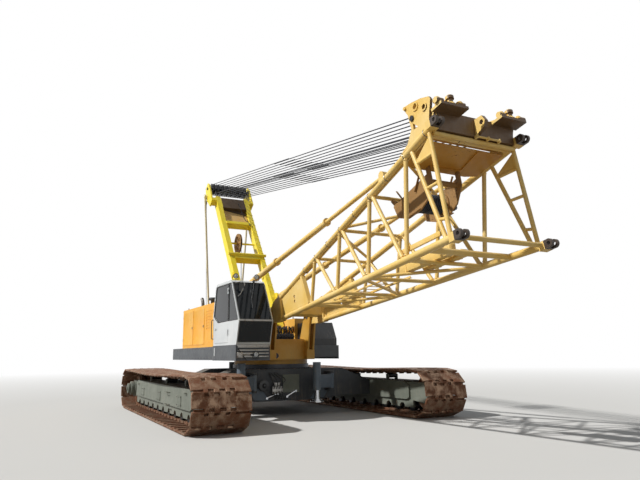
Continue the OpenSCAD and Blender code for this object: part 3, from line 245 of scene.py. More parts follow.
# The top plate's darker gold is the boom's cream with painted shade, for its underside seen in shade; its heavy chips
# and rust are wear.
shaded_under_gold = enamel("top_plate_enamel_gold_painted_shade", "B9822C", "C4923F", dirt=0.35, chips=0.9, rust="7A4A22")
cab_white = enamel("cab_enamel_grey_white", "C6CACA", "D4D7D6", dirt=0.25, chips=0.12, rough=0.36)
deck_grey = enamel("deck_enamel_dark_grey", "45494D", "53585B", dirt=0.4, chips=0.4, rough=0.5)
grey_green = enamel("side_frame_enamel_grey_green", "666A5F", "767A6F", dirt=0.7, chips=0.6, rough=0.6)
body_dark = enamel("car_body_enamel_dark_grey", "33363A", "3F4345", dirt=0.6, chips=0.6, rough=0.6)
jack_grey = enamel("jack_enamel_blue_grey", "56616C", "66717B", dirt=0.45, chips=0.4, rough=0.5)
winch_brown = enamel("winch_enamel_brown", "8A6534", "9A7440", rust="4A3020", dirt=0.5, chips=0.9, rough=0.6)
# Dark brown for the sheets and the lip between the A-frame legs: painted shade in front of and under the top box.
painted_shade_brown = enamel("mast_painted_shade_dark_brown", "3E2C1A", "4A3620", dirt=0.3, chips=0.6, rough=0.6)
guard_tan = enamel("mast_guard_enamel_tan", "DDAE62", "E3BD7C", dirt=0.2, chips=0.2)
black_paint = enamel("satin_black_enamel", "1F2123", "2B2D2F", dust="5A544B", dirt=0.3, chips=0.2)
print("enamels:", [m.name for m in bpy.data.materials])

# %% [markdown]
# Bare metal comes in several kinds here. The track shoes are cast steel: brown rust in the hollows and bright
# spots where they wear. Pins, lugs and rollers are steel with a film of dark grease. The jack rods are
# chromed. All of them are metals, so their colour tints the reflection, while rust is not a metal at all.

# %% Bare and rusty metals
def rusty_steel(name, steel, rust, deep_rust, bare=0.35, scale=5.0, rough=0.55):
    """Steel under rust: bare runs from 0, all rust, to 1, all steel."""
    material, tree, shader, place = new_material(name)
    fine = noise(tree, place, scale * 14, 8.0, 0.75)
    both = maths(tree, "MULTIPLY", noise(tree, place, scale, 6.0, 0.65), fine)
    steel_mask = ramp(tree, both, (0.20 + 0.12 * bare, 1), (0.28 + 0.12 * bare, 0))
    rust_colour = mix(tree, fine, linear(deep_rust), linear(rust))
    dress(tree, shader, Base_Color=mix(tree, steel_mask, rust_colour, linear(steel)), Metallic=steel_mask,
          Roughness=mix(tree, steel_mask, grey(0.9), grey(rough)))
    emboss(tree, shader, fine, 0.35, 0.006)
    return material


shoe_steel = rusty_steel("track_shoe_cast_steel", "8C7460", "83502F", "43281A", bare=0.04, scale=4.0)
greased_steel = rusty_steel("greased_dark_steel", "3B3C3F", "3A322C", "26211E", bare=0.9, scale=6.0, rough=0.42)
worn_steel = rusty_steel("worn_bright_steel", "8B8985", "6B5646", "44352B", bare=0.75, scale=7.0, rough=0.38)
lug_steel = rusty_steel("connection_lug_steel", "57544F", "6B4E3A", "3E2F26", bare=0.6, scale=8.0, rough=0.45)
chrome = rusty_steel("jack_rod_hard_chrome", "B9BCC0", "8E8172", "75695C", bare=1.4, scale=3.0, rough=0.16)
print("metals: 5")

# %% [markdown]
# A wire rope is six strands laid round a core, about 28 mm across here, so one lay is about 180 mm long.
# From a distance nobody sees single wires, only dark diagonal bands with a little grease shine between.

# %% Wire rope
ROPE_LAY, STRANDS, BAND_SLANT = 0.18, 6, 110.0


def wire_rope():
    material, tree, shader, place = new_material("greased_wire_rope")
    axes = add(tree, "SeparateXYZ", {"Vector": place})
    along = maths(tree, "MULTIPLY", axes.outputs["X"], STRANDS * 2 * math.pi / ROPE_LAY)
    across = maths(tree, "MULTIPLY", axes.outputs["Y"], BAND_SLANT)
    band = ramp(tree, maths(tree, "SINE", maths(tree, "ADD", along, across)), (0.0, 0), (0.6, 1))
    dress(tree, shader, Base_Color=mix(tree, band, linear("1B1D22"), linear("3D4048")), Metallic=0.7, Roughness=0.45)
    emboss(tree, shader, band, 0.4, 0.003)
    return material


rope_wire = wire_rope()
print("rope lay:", ROPE_LAY, "m")

# %% [markdown]
# The cab's panes are laminated safety glass with a dark tint. They mirror the pale surround only weakly, so that
# they look nearly black, and a little of the seat shows through. Rubber strips hold them. The seat is black
# vinyl with a fine leather grain. The lamps' glasses are clear, with moulded ribs.

# %% Glass, rubber and vinyl
def tinted_glass():
    material, tree, shader, place = new_material("cab_laminated_tinted_glass")
    haze = ramp(tree, noise(tree, place, 3.0, 6.0), (0.4, 0), (0.8, 1))
    dress(tree, shader, Base_Color=mix(tree, haze, linear("12171B"), linear("20272C")), Transmission_Weight=0.15,
          Specular_IOR_Level=0.2, Roughness=0.04, IOR=1.5)
    return material


def lamp_glass_clear():
    material, tree, shader, place = new_material("lamp_clear_glass")
    dress(tree, shader, Base_Color=linear("E8EDF0"), Roughness=0.12, Transmission_Weight=0.4)
    ribs = add(tree, "TexWave", {"Vector": place, "Scale": 22.0}, bands_direction="Y")
    emboss(tree, shader, ribs.outputs["Fac"], 0.3, 0.002)
    return material


def moulded(name, dark, light, scale, rough):
    """Rubber, vinyl or moulded plastic: one quiet colour with a grain of the given scale per metre."""
    material, tree, shader, place = new_material(name)
    grain = add(tree, "TexVoronoi", {"Vector": place, "Scale": scale})
    dress(tree, shader, Base_Color=mix(tree, noise(tree, place, 4.0, 5.0), linear(dark), linear(light)),
          Roughness=rough)
    emboss(tree, shader, grain.outputs["Distance"], 0.3, 0.001)
    return material


glass, lamp_glass = tinted_glass(), lamp_glass_clear()
rubber = moulded("weathered_black_rubber", "1B1B1B", "2E2D2B", 240, 0.7)
vinyl = moulded("seat_black_vinyl", "17181A", "232426", 320, 0.5)
print("glass, rubber and vinyl made")

# %% [markdown]
# Every solid of the CAD model gets the finish of its real piece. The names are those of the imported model,
# and a node that is missing from this table would stop the script, so nothing can stay unfinished.

# %% Finish of every CAD node
finish = {
    "track_right": shoe_steel, "track_left": shoe_steel, "car_body": body_dark, "track_frames": grey_green,
    "slew_ring": greased_steel, "end_wheels": shoe_steel, "track_rollers": greased_steel,
    "main_frame": ochre, "side_decks": deck_grey, "engine_housing": orange, "left_housing": left_orange,
    "engine_block": greased_steel, "winch_frames": deck_grey, "hoist_drum_front": greased_steel,
    "hoist_drum_rear": greased_steel, "foot_pins": worn_steel, "cab_shell": cab_white, "cab_glass": glass,
    "cab_seat": vinyl, "cab_door": cab_white, "door_glass": glass, "a_frame": lemon,
    "a_frame_sheaves": greased_steel, "rear_ties": pale_cream, "guide_sheave": winch_brown, "boom_foot": cream,
    "boom_chords": cream, "side_lacing": cream, "face_lacing": cream, "boom_lugs": lug_cream,
    "boom_top_plate": shaded_under_gold, "cross_head": head_cream, "cross_head_sheaves": greased_steel,
    "boom_winch": winch_brown, "backstop_tubes": cream, "backstop_rods": cream,
    "ropes_upper": rope_wire, "ropes_lower": rope_wire}
for corner in ("front_right", "front_left", "rear_right", "rear_left"):
    finish["jack_arm_" + corner] = jack_grey
    finish["jack_rod_" + corner] = chrome
for node_name, node_object in nodes.items():
    node_object.data.materials.clear()
    node_object.data.materials.append(finish[node_name])
print("finished nodes:", len(finish))

# %% [markdown]
# New pieces are modelled as by hand: a primitive is added where it belongs, some of its faces or edges are picked
# by their place or normal, and operators extrude, inset, move or bevel them. These helpers keep each step short.
# A finished piece is smoothed by angle, gets its material, and rides on the body that carries it.

# %% Modelling helpers
at = Matrix.Translation


def turned(place, degrees, axis):
    """A place, turned about one axis."""
    return at(place) @ Matrix.Rotation(math.radians(degrees), 4, axis)


def facing(place, direction):
    """A place whose Z axis points in a direction."""
    return at(place) @ Vector(direction).to_track_quat("Z", "X").to_matrix().to_4x4()


def rim(radius, angle, axis="Y"):
    """The step from a circle's centre to a point of its rim, for a circle about that axis."""
    a, b = radius * math.cos(angle), radius * math.sin(angle)
    return Vector({"X": (0, a, b), "Y": (a, 0, b), "Z": (a, b, 0)}[axis])


def select(*pieces):
    """Selects these objects only and makes the first one active."""
    bpy.ops.object.select_all(action="DESELECT")
    for piece in pieces:
        piece.select_set(True)
    bpy.context.view_layer.objects.active = pieces[0]


def settle(piece):
    """Puts the object's place, turn and size into its mesh."""
    select(piece)
    bpy.ops.object.transform_apply(location=True, rotation=True, scale=True)


def start(operator, name, **settings):
    """Adds a primitive with nothing else selected and names it."""
    bpy.ops.object.select_all(action="DESELECT")
    operator(**settings)
    piece = bpy.context.object
    piece.name = name
    return piece


def box_piece(name, low, high):
    """A box from its lowest to its highest corner, with its place in its mesh."""
    centre = [(a + b) / 2 for a, b in zip(low, high)]
    piece = start(bpy.ops.mesh.primitive_cube_add, name, size=1, location=centre)
    piece.scale = [b - a for a, b in zip(low, high)]
    settle(piece)
    return piece


def rod_piece(name, first, last, radius, sides=16):
    """A round rod between two points."""
    first, last = Vector(first), Vector(last)
    piece = start(bpy.ops.mesh.primitive_cylinder_add, name, vertices=sides, radius=radius,
                  depth=(last - first).length, location=(first + last) / 2)
    piece.rotation_euler = (last - first).to_track_quat("Z", "Y").to_euler()
    settle(piece)
    return piece


def torus_piece(name, radius, thickness, around, along, **settings):
    """A ring of round section, with so many sides around it and along its section."""
    return start(bpy.ops.mesh.primitive_torus_add, name, major_radius=radius, minor_radius=thickness,
                 major_segments=around, minor_segments=along, **settings)


def quad_piece(name, corners):
    """A flat sheet with four corners, in order round its edge."""
    piece = start(bpy.ops.mesh.primitive_plane_add, name, size=1)
    for vertex, corner in zip(piece.data.vertices, (corners[0], corners[1], corners[3], corners[2])):
        vertex.co = corner
    return piece


def edit(piece, what, test):
    """Goes into edit mode and selects the faces, edges or vertices whose centre and normal pass the test."""
    select(piece)
    bpy.ops.object.mode_set(mode="EDIT")
    bpy.ops.mesh.select_mode(type=what)
    bpy.ops.mesh.select_all(action="DESELECT")
    work = bmesh.from_edit_mesh(piece.data)
    for item in {"FACE": work.faces, "EDGE": work.edges, "VERT": work.verts}[what]:
        if what == "FACE":
            centre, normal = item.calc_center_median(), item.normal
        elif what == "EDGE":
            centre = (item.verts[0].co + item.verts[1].co) / 2
            normal = (item.verts[1].co - item.verts[0].co).normalized()
        else:
            centre, normal = item.co, item.normal
        if test(centre, normal):
            item.select_set(True)
    bmesh.update_edit_mesh(piece.data)


def leave():
    bpy.ops.object.mode_set(mode="OBJECT")


def move(*step):
    bpy.ops.transform.translate(value=step)


def extrude(*step):
    bpy.ops.mesh.extrude_region_move(TRANSFORM_OT_translate={"value": step})


def press(piece, side, margin, step, draw=False):
    """Insets the face that looks along a side such as '+X', then moves it or draws it out by a step."""
    direction = Vector([float(side[1] == axis) * float(side[0] + "1") for axis in "XYZ"])
    edit(piece, "FACE", lambda p, n: n.dot(direction) > 0.9)
    bpy.ops.mesh.inset(thickness=margin)
    (extrude if draw else move)(*step)
    leave()


def modify(piece, kind, **settings):
    """Adds a modifier with its settings and applies it."""
    select(piece)
    modifier = piece.modifiers.new(kind.lower(), kind)
    for name, value in settings.items():
        setattr(modifier, name, value)
    bpy.ops.object.modifier_apply(modifier=modifier.name)


def soften(piece, width, segments=2):
    """Bevels the piece's sharp edges."""
    modify(piece, "BEVEL", width=width, segments=segments, limit_method="ANGLE", angle_limit=math.radians(40))
    return piece


def joined(name, pieces):
    """Joins pieces into one object of that name."""
    select(*pieces)
    if len(pieces) > 1:
        bpy.ops.object.join()
    pieces[0].name = name
    return pieces[0]


def half_ball(name, radius):
    """The upper half of a ball at the origin, closed below."""
    ball = start(bpy.ops.mesh.primitive_uv_sphere_add, name, segments=20, ring_count=10, radius=radius)
    edit(ball, "VERT", lambda p, n: p.z < -0.001)
    bpy.ops.mesh.delete(type="VERT")
    leave()
    edit(ball, "EDGE", lambda p, n: abs(p.z) < 0.001)
    bpy.ops.mesh.edge_face_add()
    leave()
    return ball


def copy_at(piece, matrix):
    """A copy of a piece, with its own mesh, put in place by a matrix."""
    twin = piece.copy()
    twin.data = piece.data.copy()
    bpy.context.scene.collection.objects.link(twin)
    twin.data.transform(matrix)
    return twin


def copies(model, places):
    """One copy of a model at each place. The model itself goes."""
    made = [copy_at(model, place) for place in places]
    bpy.data.objects.remove(model)
    return made


body_of = dict.fromkeys(("track_right", "track_left", "track_frames", "car_body"), "undercarriage")
body_of |= {"door_glass": "cab_door", "hoist_drum_front": "hoist_drum_front", "hoist_drum_rear": "hoist_drum_rear"}


def fasten(piece, material, node, body=None):
    """Gives a piece its finish and its place in the motion: the body that carries a CAD node like it."""
    select(piece)
    bpy.ops.object.shade_smooth_by_angle(angle=math.radians(35))
    piece.data.materials.clear()
    piece.data.materials.append(material)
    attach(piece, body or body_of.get(node, "superstructure"))
    return piece


def assemble(name, pieces, material, node):
    """Joins pieces and fastens them as one."""
    return fasten(joined(name, pieces), material, node)


# %% [markdown]
# A track of a big crane is a chain of cast shoes, 1.5 m wide. Neighbouring shoes mesh like the fingers of two
# hands: broad fingers on the front edge of each shoe reach between those of the next one, and a lip below closes
# the gap. Under each shoe are two rails that the rollers run on and a drive lug between them. One shoe is
# modelled from a grid whose cells give the fingers, and it is copied 54 times round each track's pin line.

# %% One track shoe
SHOE_COUNT, SHOE_WIDTH, PIN_RADIUS, WHEEL_BASE = 54, 1.5, 0.615, 9.05
SHOE_TOP, SHOE_THICK, TRACK_SAG, GAUGE = 0.110, 0.070, 0.060, 6.8
AXLE_Z = PIN_RADIUS + SHOE_TOP
SHOE_PITCH = (2 * WHEEL_BASE + 2 * math.pi * PIN_RADIUS) / SHOE_COUNT
FINGER, GAP, RAIL_Y, END_DROP = 0.105, 0.020, 0.19, 0.018
COLUMN_EDGES = [-0.75, -0.34, -0.20, -0.09, 0.065, 0.20, 0.34, 0.45, 0.75]


def move_lines(piece, axis, edges):
    """Moves a grid's rows of vertices, a metre apart about the middle, to the given places along an axis."""
    middle, clear = (len(edges) - 1) / 2, 100
    for line, edge in enumerate(edges):
        edit(piece, "VERT", lambda p, n: abs(p[axis] - (line - middle)) < 0.01)
        move(*[clear + edge - (line - middle) if i == axis else 0 for i in range(3)])
        leave()
    piece.location[axis] = -clear
    settle(piece)


def track_shoe():
    columns = len(COLUMN_EDGES) - 1
    shoe = start(bpy.ops.mesh.primitive_grid_add, "shoe", x_subdivisions=5, y_subdivisions=columns, size=1)
    shoe.scale = (5, columns, 1)
    settle(shoe)
    low, high = -SHOE_PITCH / 2 + GAP / 2, SHOE_PITCH / 2 - GAP / 2
    rows = [low - FINGER / 2, low + FINGER / 2, 0.0, high - FINGER / 2 - 0.02, high - FINGER / 2, high + FINGER / 2]
    move_lines(shoe, 0, rows)
    move_lines(shoe, 1, COLUMN_EDGES)

    def spare(p, n):
        """Cells of the front row between the fingers, and of the back row where the next shoe's fingers reach."""
        reaching = sum(edge < p.y for edge in COLUMN_EDGES) % 2 == 0
        return (p.x > rows[4] and not reaching) or (p.x < rows[1] and reaching)
    edit(shoe, "FACE", spare)
    bpy.ops.mesh.delete(type="FACE")
    bpy.ops.mesh.select_all(action="SELECT")
    extrude(0, 0, -SHOE_THICK)
    bpy.ops.mesh.select_all(action="SELECT")
    bpy.ops.mesh.normals_make_consistent(inside=False)
    leave()
    # The outer ends slope down, as worn castings do
    edit(shoe, "VERT", lambda p, n: abs(p.y) > SHOE_WIDTH / 2 - 0.01 and p.z > -0.01)
    move(0, 0, -END_DROP)
    leave()
    shoe.location.z = SHOE_TOP
    settle(shoe)
    return soften(shoe, 0.009, 1)


def shoe_underside():
    """Two rails with their pin bosses, the drive lug, and the lip under the gap."""
    half, plate = SHOE_PITCH / 2, SHOE_TOP - SHOE_THICK + 0.004
    parts = []
    for y in (-RAIL_Y, RAIL_Y):
        parts += [box_piece("rail", (-half + 0.012, y - 0.05, -0.04), (half - 0.012, y + 0.05, plate)),
                  rod_piece("boss", (-half, y - 0.075, 0.006), (-half, y + 0.075, 0.006), 0.042, 10)]
    lug = box_piece("lug", (-0.07, -0.085, -0.075), (0.07, 0.085, plate))
    edit(lug, "FACE", lambda p, n: n.z < -0.9)
    bpy.ops.transform.resize(value=(0.45, 0.8, 1))
    leave()
    lip = box_piece("lip", (half - 0.10, -0.70, plate - 0.031), (half + 0.075, 0.70, plate - 0.001))
    return joined("underside", parts + [lug, lip])


def pin_point(run):
    """A point of the pin line, as (x, z) over the ground, at that length along it."""
    arc, half = math.pi * PIN_RADIUS, WHEEL_BASE / 2
    run %= 2 * WHEEL_BASE + 2 * arc
    if run < WHEEL_BASE:
        return Vector((run - half, SHOE_TOP))
    if WHEEL_BASE + arc <= run < 2 * WHEEL_BASE + arc:
        x = half - (run - WHEEL_BASE - arc)
        return Vector((x, AXLE_Z + PIN_RADIUS - TRACK_SAG * (1 + math.cos(math.pi * x / half)) / 2))
    end, begun, quarter = (half, WHEEL_BASE, -1) if run < WHEEL_BASE + arc else (-half, 2 * WHEEL_BASE + arc, 1)
    a = (run - begun) / PIN_RADIUS + quarter * math.pi / 2
    return Vector((end + PIN_RADIUS * math.cos(a), AXLE_Z + PIN_RADIUS * math.sin(a)))


def lay_track(name, side, shoe, node):
    """Copies the shoe round the pin line, each between two neighbouring pins."""
    shoes = []
    for i in range(SHOE_COUNT):
        here, there = pin_point((i + 1 / 3) * SHOE_PITCH), pin_point((i + 4 / 3) * SHOE_PITCH)
        run, middle = (there - here).normalized(), (here + there) / 2
        forward, outward = Vector((run.x, 0, run.y)), Vector((run.y, 0, -run.x))
        place = Matrix((forward, outward.cross(forward), outward)).transposed().to_4x4()
        place.translation = Vector((middle.x, side * GAUGE / 2, middle.y))
        shoes.append(copy_at(shoe, place))
    track = assemble(name, shoes, shoe_steel, node)
    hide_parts(node)
    print(name, "triangles:", sum(len(f.vertices) - 2 for f in track.data.polygons))


shoe = joined("track_shoe", [track_shoe(), shoe_underside()])
lay_track("track_shoes_right", -1, shoe, "track_right")
lay_track("track_shoes_left", 1, shoe, "track_left")
bpy.data.objects.remove(shoe)

# %% [markdown]
# The travel drive sits in the rear wheel of each track: a stepped round gearbox with a ring of bolts.
# The front wheel's axle ends in a plain cap.

# %% Travel drives and axle caps
YOKE_FACE, BOLT_MARGIN = GAUGE / 2 + 0.318, 0.028
DRIVE_STEPS = ((0.30, 0, 0.06), (0.25, 0.06, 0.20), (0.19, 0.20, 0.30), (0.08, 0.30, 0.33))
CAP_STEPS = ((0.17, 0, 0.035), (0.10, 0.035, 0.06))


def stepped(name, place, out, steps, sides, bevel, overlap=0.0):
    """Discs of (radius, from, to) set one on the other along a direction from a place."""
    place, out = Vector(place), Vector(out)
    return [soften(rod_piece(name, place + out * (first - overlap), place + out * last, radius, sides), bevel)
            for radius, first, last in steps]


drives, drive_bolts = [], []
for side in (-1, 1):
    for x, steps in ((-WHEEL_BASE / 2, DRIVE_STEPS), (WHEEL_BASE / 2, CAP_STEPS)):
        hub, out = Vector((x, side * YOKE_FACE, AXLE_Z)), Vector((0, side, 0))
        drives += stepped("step", hub, out, steps, 32, 0.010, 0.002)
        for k in range(12):
            foot = hub + rim(steps[0][0] - BOLT_MARGIN, 2 * math.pi * k / 12) + out * (steps[0][2] - 0.002)
            drive_bolts.append(rod_piece("bolt", foot, foot + out * 0.022, 0.015, 6))
assemble("travel_drives", drives, grey_green, "track_frames")
assemble("travel_drive_bolts", drive_bolts, worn_steel, "track_frames")
print("drive bolts:", len(drive_bolts))

# %% [markdown]
# Rails, hoses and pipes are round bar or tube that bends. Such a piece is a path with a round section, so it
# is drawn as a curve with a bevel depth and then turned into a mesh. Hoses get soft handles, and bent bar gets
# straight runs with short corners, as a pipe bender leaves them.

# %% Round bar along a path
def round_corners(points, reach):
    """The same path with each corner cut twice, so that it reads as a bend."""
    rounded = [points[0]]
    for before, corner, after in zip(points, points[1:], points[2:]):
        back, on = before - corner, after - corner
        first = corner + back.normalized() * min(reach, back.length / 2)
        last = corner + on.normalized() * min(reach, on.length / 2)
        rounded += [first, corner + ((first - corner) + (last - corner)) * 0.25, last]
    return rounded + [points[-1]]


def path_piece(name, points, radius, soft=False, sides=2):
    """A round bar or hose through points in metres; sides is the resolution of a quarter of its section."""
    data = bpy.data.curves.new(name, "CURVE")
    data.dimensions = "3D"
    data.bevel_depth = radius
    data.bevel_resolution = sides
    data.resolution_u = 6
    data.use_fill_caps = True
    if soft:
        spline = data.splines.new("BEZIER")
        spline.bezier_points.add(len(points) - 1)
        for knot, point in zip(spline.bezier_points, points):
            knot.co = point
            knot.handle_left_type = knot.handle_right_type = "AUTO"
    else:
        spline = data.splines.new("POLY")
        rounded = round_corners([Vector(p) for p in points], radius * 3)
        spline.points.add(len(rounded) - 1)
        for knot, point in zip(spline.points, rounded):
            knot.co = (*point, 1)
    piece = bpy.data.objects.new(name, data)
    bpy.context.scene.collection.objects.link(piece)
    select(piece)
    bpy.ops.object.convert(target="MESH")
    return bpy.context.object


print("paths ready")

# %% [markdown]
# The cab of such a crane is a narrow steel box beside the boom. Its panes sit in black rubber strips, the
# driver holds on to a silver bar when cleaning the screen, and a long wiper sweeps the upper pane. The strips
# follow each pane's own outline, so they are made as closed runs of flat bar from the outline's corners.

# %% Rubber strips round the side panes
CAB_OUT, CAB_ROOF, CAB_MID, PANE_HALF = -2.35, 4.12, -1.825, 0.483
DOOR_PANE = [(2.30, 2.92), (2.30, 4.02), (1.20, 4.02), (1.135, 3.98), (0.93, 3.15), (0.945, 3.11), (1.35, 2.92)]
FIXED_PANE = [(2.365, 2.92), (3.205, 2.92), (2.568, 4.02), (2.365, 4.02)]
STRIP_THICK = 0.012


def flat_strip(name, corners, width):
    """A closed frame of flat bar round side-view corners, lying on the cab's outer side."""
    centre = sum((Vector(c) for c in corners), Vector((0, 0))) / len(corners)
    outer = [Vector(c) + (Vector(c) - centre).normalized() * width for c in corners]
    work = bmesh.new()
    rings = [[work.verts.new((p[0], CAB_OUT - 0.002 + y, p[1])) for p in line]
             for y in (-STRIP_THICK / 2, STRIP_THICK / 2) for line in (corners, outer)]
    for i in range(len(corners)):
        k = (i + 1) % len(corners)
        for a, b in ((rings[0], rings[1]), (rings[3], rings[2]), (rings[1], rings[3]), (rings[2], rings[0])):
            work.faces.new((a[i], a[k], b[k], b[i]))
    bmesh.ops.recalc_face_normals(work, faces=work.faces)
    mesh = bpy.data.meshes.new(name)
    work.to_mesh(mesh)
    work.free()
    piece = bpy.data.objects.new(name, mesh)
    bpy.context.scene.collection.objects.link(piece)
    return piece


door_strip = fasten(flat_strip("door_pane_rubber", DOOR_PANE, 0.022), rubber, "door_glass")
fixed_strip = fasten(flat_strip("fixed_pane_rubber", FIXED_PANE, 0.020), rubber, "cab_glass")
print("side rubbers:", len(door_strip.data.polygons) + len(fixed_strip.data.polygons), "faces")

# %% Rubber strips and bright bar of the front panes
SCREEN_LOW, SCREEN_HIGH = Vector((3.269, 2.915)), Vector((2.612, 4.04))
CHIN_LOW, CHIN_HIGH = Vector((3.105, 2.28)), Vector((3.281, 2.85))
WAIST, LIFT = Vector((3.296, 2.884)), 0.004


def along_pane(piece, point, y, along, lift=LIFT):
    """Lays a piece on a front pane: along is the pane's side-view direction, upward, and point lies on it."""
    place = point + Vector((along.y, -along.x)) * lift
    piece.data.transform(at((place.x, y, place.y)) @ Matrix.Rotation(-math.atan2(along.y, along.x), 4, "Y"))
    return piece


def cross_bar(point, half, width, thick, along):
    bar = box_piece("bar", (-width / 2, CAB_MID - half, -thick / 2), (width / 2, CAB_MID + half, thick / 2))
    return along_pane(soften(bar, min(width, thick) * 0.25, 1), point, 0, along)


def front_frame(name, low, high, width=0.022):
    """Two cross bars and two uprights of rubber round a front pane."""
    along, half = (high - low).normalized(), (high - low).length / 2
    bars = [cross_bar(point, PANE_HALF + width / 2, width, STRIP_THICK, along) for point in (low, high)]
    for y in (CAB_MID - PANE_HALF, CAB_MID + PANE_HALF):
        post = box_piece("post", (-half, -width / 2, -STRIP_THICK / 2), (half, width / 2, STRIP_THICK / 2))
        bars.append(along_pane(post, (low + high) / 2, y, along))
    assemble(name, bars, rubber, "cab_glass")


front_frame("screen_rubber", SCREEN_LOW, SCREEN_HIGH)
front_frame("chin_pane_rubber", CHIN_LOW, CHIN_HIGH)
waist = cross_bar(WAIST, 0.50, 0.05, 0.02, Vector((0.05, 1)).normalized())
bracket = soften(box_piece("bracket", (3.285, -2.29, 2.862), (3.312, -2.20, 2.905)), 0.004, 1)
assemble("cab_waist_bar", [waist, bracket], worn_steel, "cab_shell")
print("front rubbers and waist bar made")

# %% [markdown]
# The wiper's arm is a thin bent bar from a motor above the screen, with a spring bridge and a rubber blade.
# Beside it a mirror hangs in a loop of round bar. These are small, but they give the cab its scale.

# %% Wiper and mirror loop
def on_screen(share, y, lift=0.03):
    """A point in front of the upper pane: share runs from its lower to its upper edge."""
    along = SCREEN_HIGH - SCREEN_LOW
    place = SCREEN_LOW + along * share + Vector((along.y, -along.x)).normalized() * lift
    return (place.x, y, place.y)


motor = soften(rod_piece("motor", on_screen(1.03, -1.66, 0.0), on_screen(1.03, -1.66, 0.06), 0.035, 14), 0.006)
WIPER = (("arm", 0.008, ((1.03, -1.66, 0.06), (0.98, -1.67, 0.055), (0.55, -1.83, 0.035))),
         ("blade", 0.011, ((0.80, -1.80, 0.012), (0.28, -1.87, 0.012))),
         ("bridge", 0.006, ((0.70, -1.815, 0.02), (0.55, -1.835, 0.036), (0.40, -1.855, 0.02))))
wiper = [path_piece(name, [on_screen(*p) for p in points], radius) for name, radius, points in WIPER]
assemble("screen_wiper", [motor] + wiper, black_paint, "cab_shell")

LOOP = ((0.97, -2.27, 0.02), (0.99, -2.06, 0.10), (0.90, -1.99, 0.10), (0.62, -2.19, 0.10), (0.60, -2.25, 0.02))
fasten(path_piece("mirror_loop", [on_screen(*p) for p in LOOP], 0.009), worn_steel, "cab_shell")
mirror = box_piece("mirror", (-0.012, -0.075, -0.11), (0.012, 0.075, 0.11))
press(mirror, "+X", 0.012, (-0.004, 0, 0))
soften(mirror, 0.004)
mirror.data.transform(turned(on_screen(0.80, -2.12, 0.11), -12, "Z"))
fasten(mirror, black_paint, "cab_shell")
print("wiper and mirror made")

# %% [markdown]
# The roof carries two work lamps, and a third sits in the bumper. A work lamp is a round bowl with a rim and a
# glass, on a bent foot. One is modelled at the origin, looking along X, and then copied.

# %% Work lamps
LAMP_RADIUS = 0.085


def lamp_bowl(r):
    """The bowl of a lamp that looks along +X, open at the front, with a rolled rim."""
    bowl = rod_piece("bowl", (-r * 0.9, 0, 0), (0, 0, 0), r, 20)
    edit(bowl, "FACE", lambda p, n: n.x < -0.9)
    bpy.ops.transform.resize(value=(1, 0.5, 0.5))
    leave()
    press(bowl, "+X", r * 0.14, (-r * 0.22, 0, 0), draw=True)
    return soften(bowl, r * 0.05)


def lamp_lens(r):
    """The glass of the lamp, a shallow dome that sits inside the rim."""
    lens = half_ball("lens", r * 0.85)
    lens.rotation_euler = (0, math.radians(90), 0)
    lens.scale = (1, 1, 0.28)
    settle(lens)
    lens.data.transform(at((-r * 0.2, 0, 0)))
    return lens


def lamp_foot(r):
    """A bent strap that holds the bowl from below."""
    x, y, low = -r * 0.4, r * 1.15, -r * 1.3
    return [path_piece("foot", [(x, -y, 0), (x, -y, low), (x, y, low), (x, y, 0)], r * 0.09),
            rod_piece("stud", (x, 0, -r * 1.7), (x, 0, -r * 1.2), r * 0.12, 8),
            rod_piece("ears", (x, -r * 1.2, 0), (x, r * 1.2, 0), r * 0.08, 8)]


lamp_model, lens_model = joined("lamp", [lamp_bowl(LAMP_RADIUS)] + lamp_foot(LAMP_RADIUS)), lamp_lens(LAMP_RADIUS)
LAMPS = (("roof_lamp_right", (2.42, -2.16, CAB_ROOF + 0.14), "cab_shell", 8.0),
         ("roof_lamp_left", (2.42, -1.49, CAB_ROOF + 0.14), "cab_shell", 8.0),
         ("bumper_lamp", (3.155, -1.765, 1.92), "side_decks", 0.0))
for name, place, node, dip in LAMPS:
    fasten(copy_at(lamp_model, turned(place, dip, "Y")), black_paint, node).name = name
    fasten(copy_at(lens_model, turned(place, dip, "Y")), lamp_glass, node).name = name + "_glass"
for model in (lamp_model, lens_model):
    bpy.data.objects.remove(model)
print("lamps:", len(LAMPS))

# %% [markdown]
# The superstructure's two housings are sheet steel over the engine, the pumps and the tanks. Their sides are
# doors: each is a panel that stands a few millimetres proud, with two hinges and a paddle latch. A door is
# made from a box whose outer face is inset and pressed in, and its place comes from the housing's own box.

# %% Doors of the housings
def span(node):
    """The lowest and highest corner of a CAD node."""
    corners = [nodes[node].matrix_world @ Vector(c) for c in nodes[node].bound_box]
    return [Vector([pick(c[i] for c in corners) for i in range(3)]) for pick in (min, max)]


def middle_of(node):
    low, high = span(node)
    return (low + high) / 2


RIGHT_LOW, RIGHT_HIGH = span("engine_housing")
LEFT_HIGH = span("left_housing")[1]
DECK_TOP = RIGHT_LOW.z
DOOR_PROUD, DOOR_EDGE, DOOR_PRESSED = 0.012, 0.045, 0.005


def housing_door(x0, x1, z0, z1):
    """A door in the plane y = 0 that faces -Y, hung at its left edge."""
    leaf = box_piece("leaf", (x0, -DOOR_PROUD, z0), (x1, 0.001, z1))
    edit(leaf, "FACE", lambda p, n: n.y < -0.9)
    bpy.ops.mesh.inset(thickness=DOOR_EDGE)
    bpy.ops.mesh.inset(thickness=0.012)
    move(0, DOOR_PRESSED, 0)
    leave()
    soften(leaf, 0.003, 1)
    hinges = [rod_piece("hinge", (x0 - 0.006, -0.014, z - 0.05), (x0 - 0.006, -0.014, z + 0.05), 0.011, 10)
              for z in (z0 + 0.18 * (z1 - z0), z0 + 0.82 * (z1 - z0))]
    return joined("door", [leaf] + hinges)


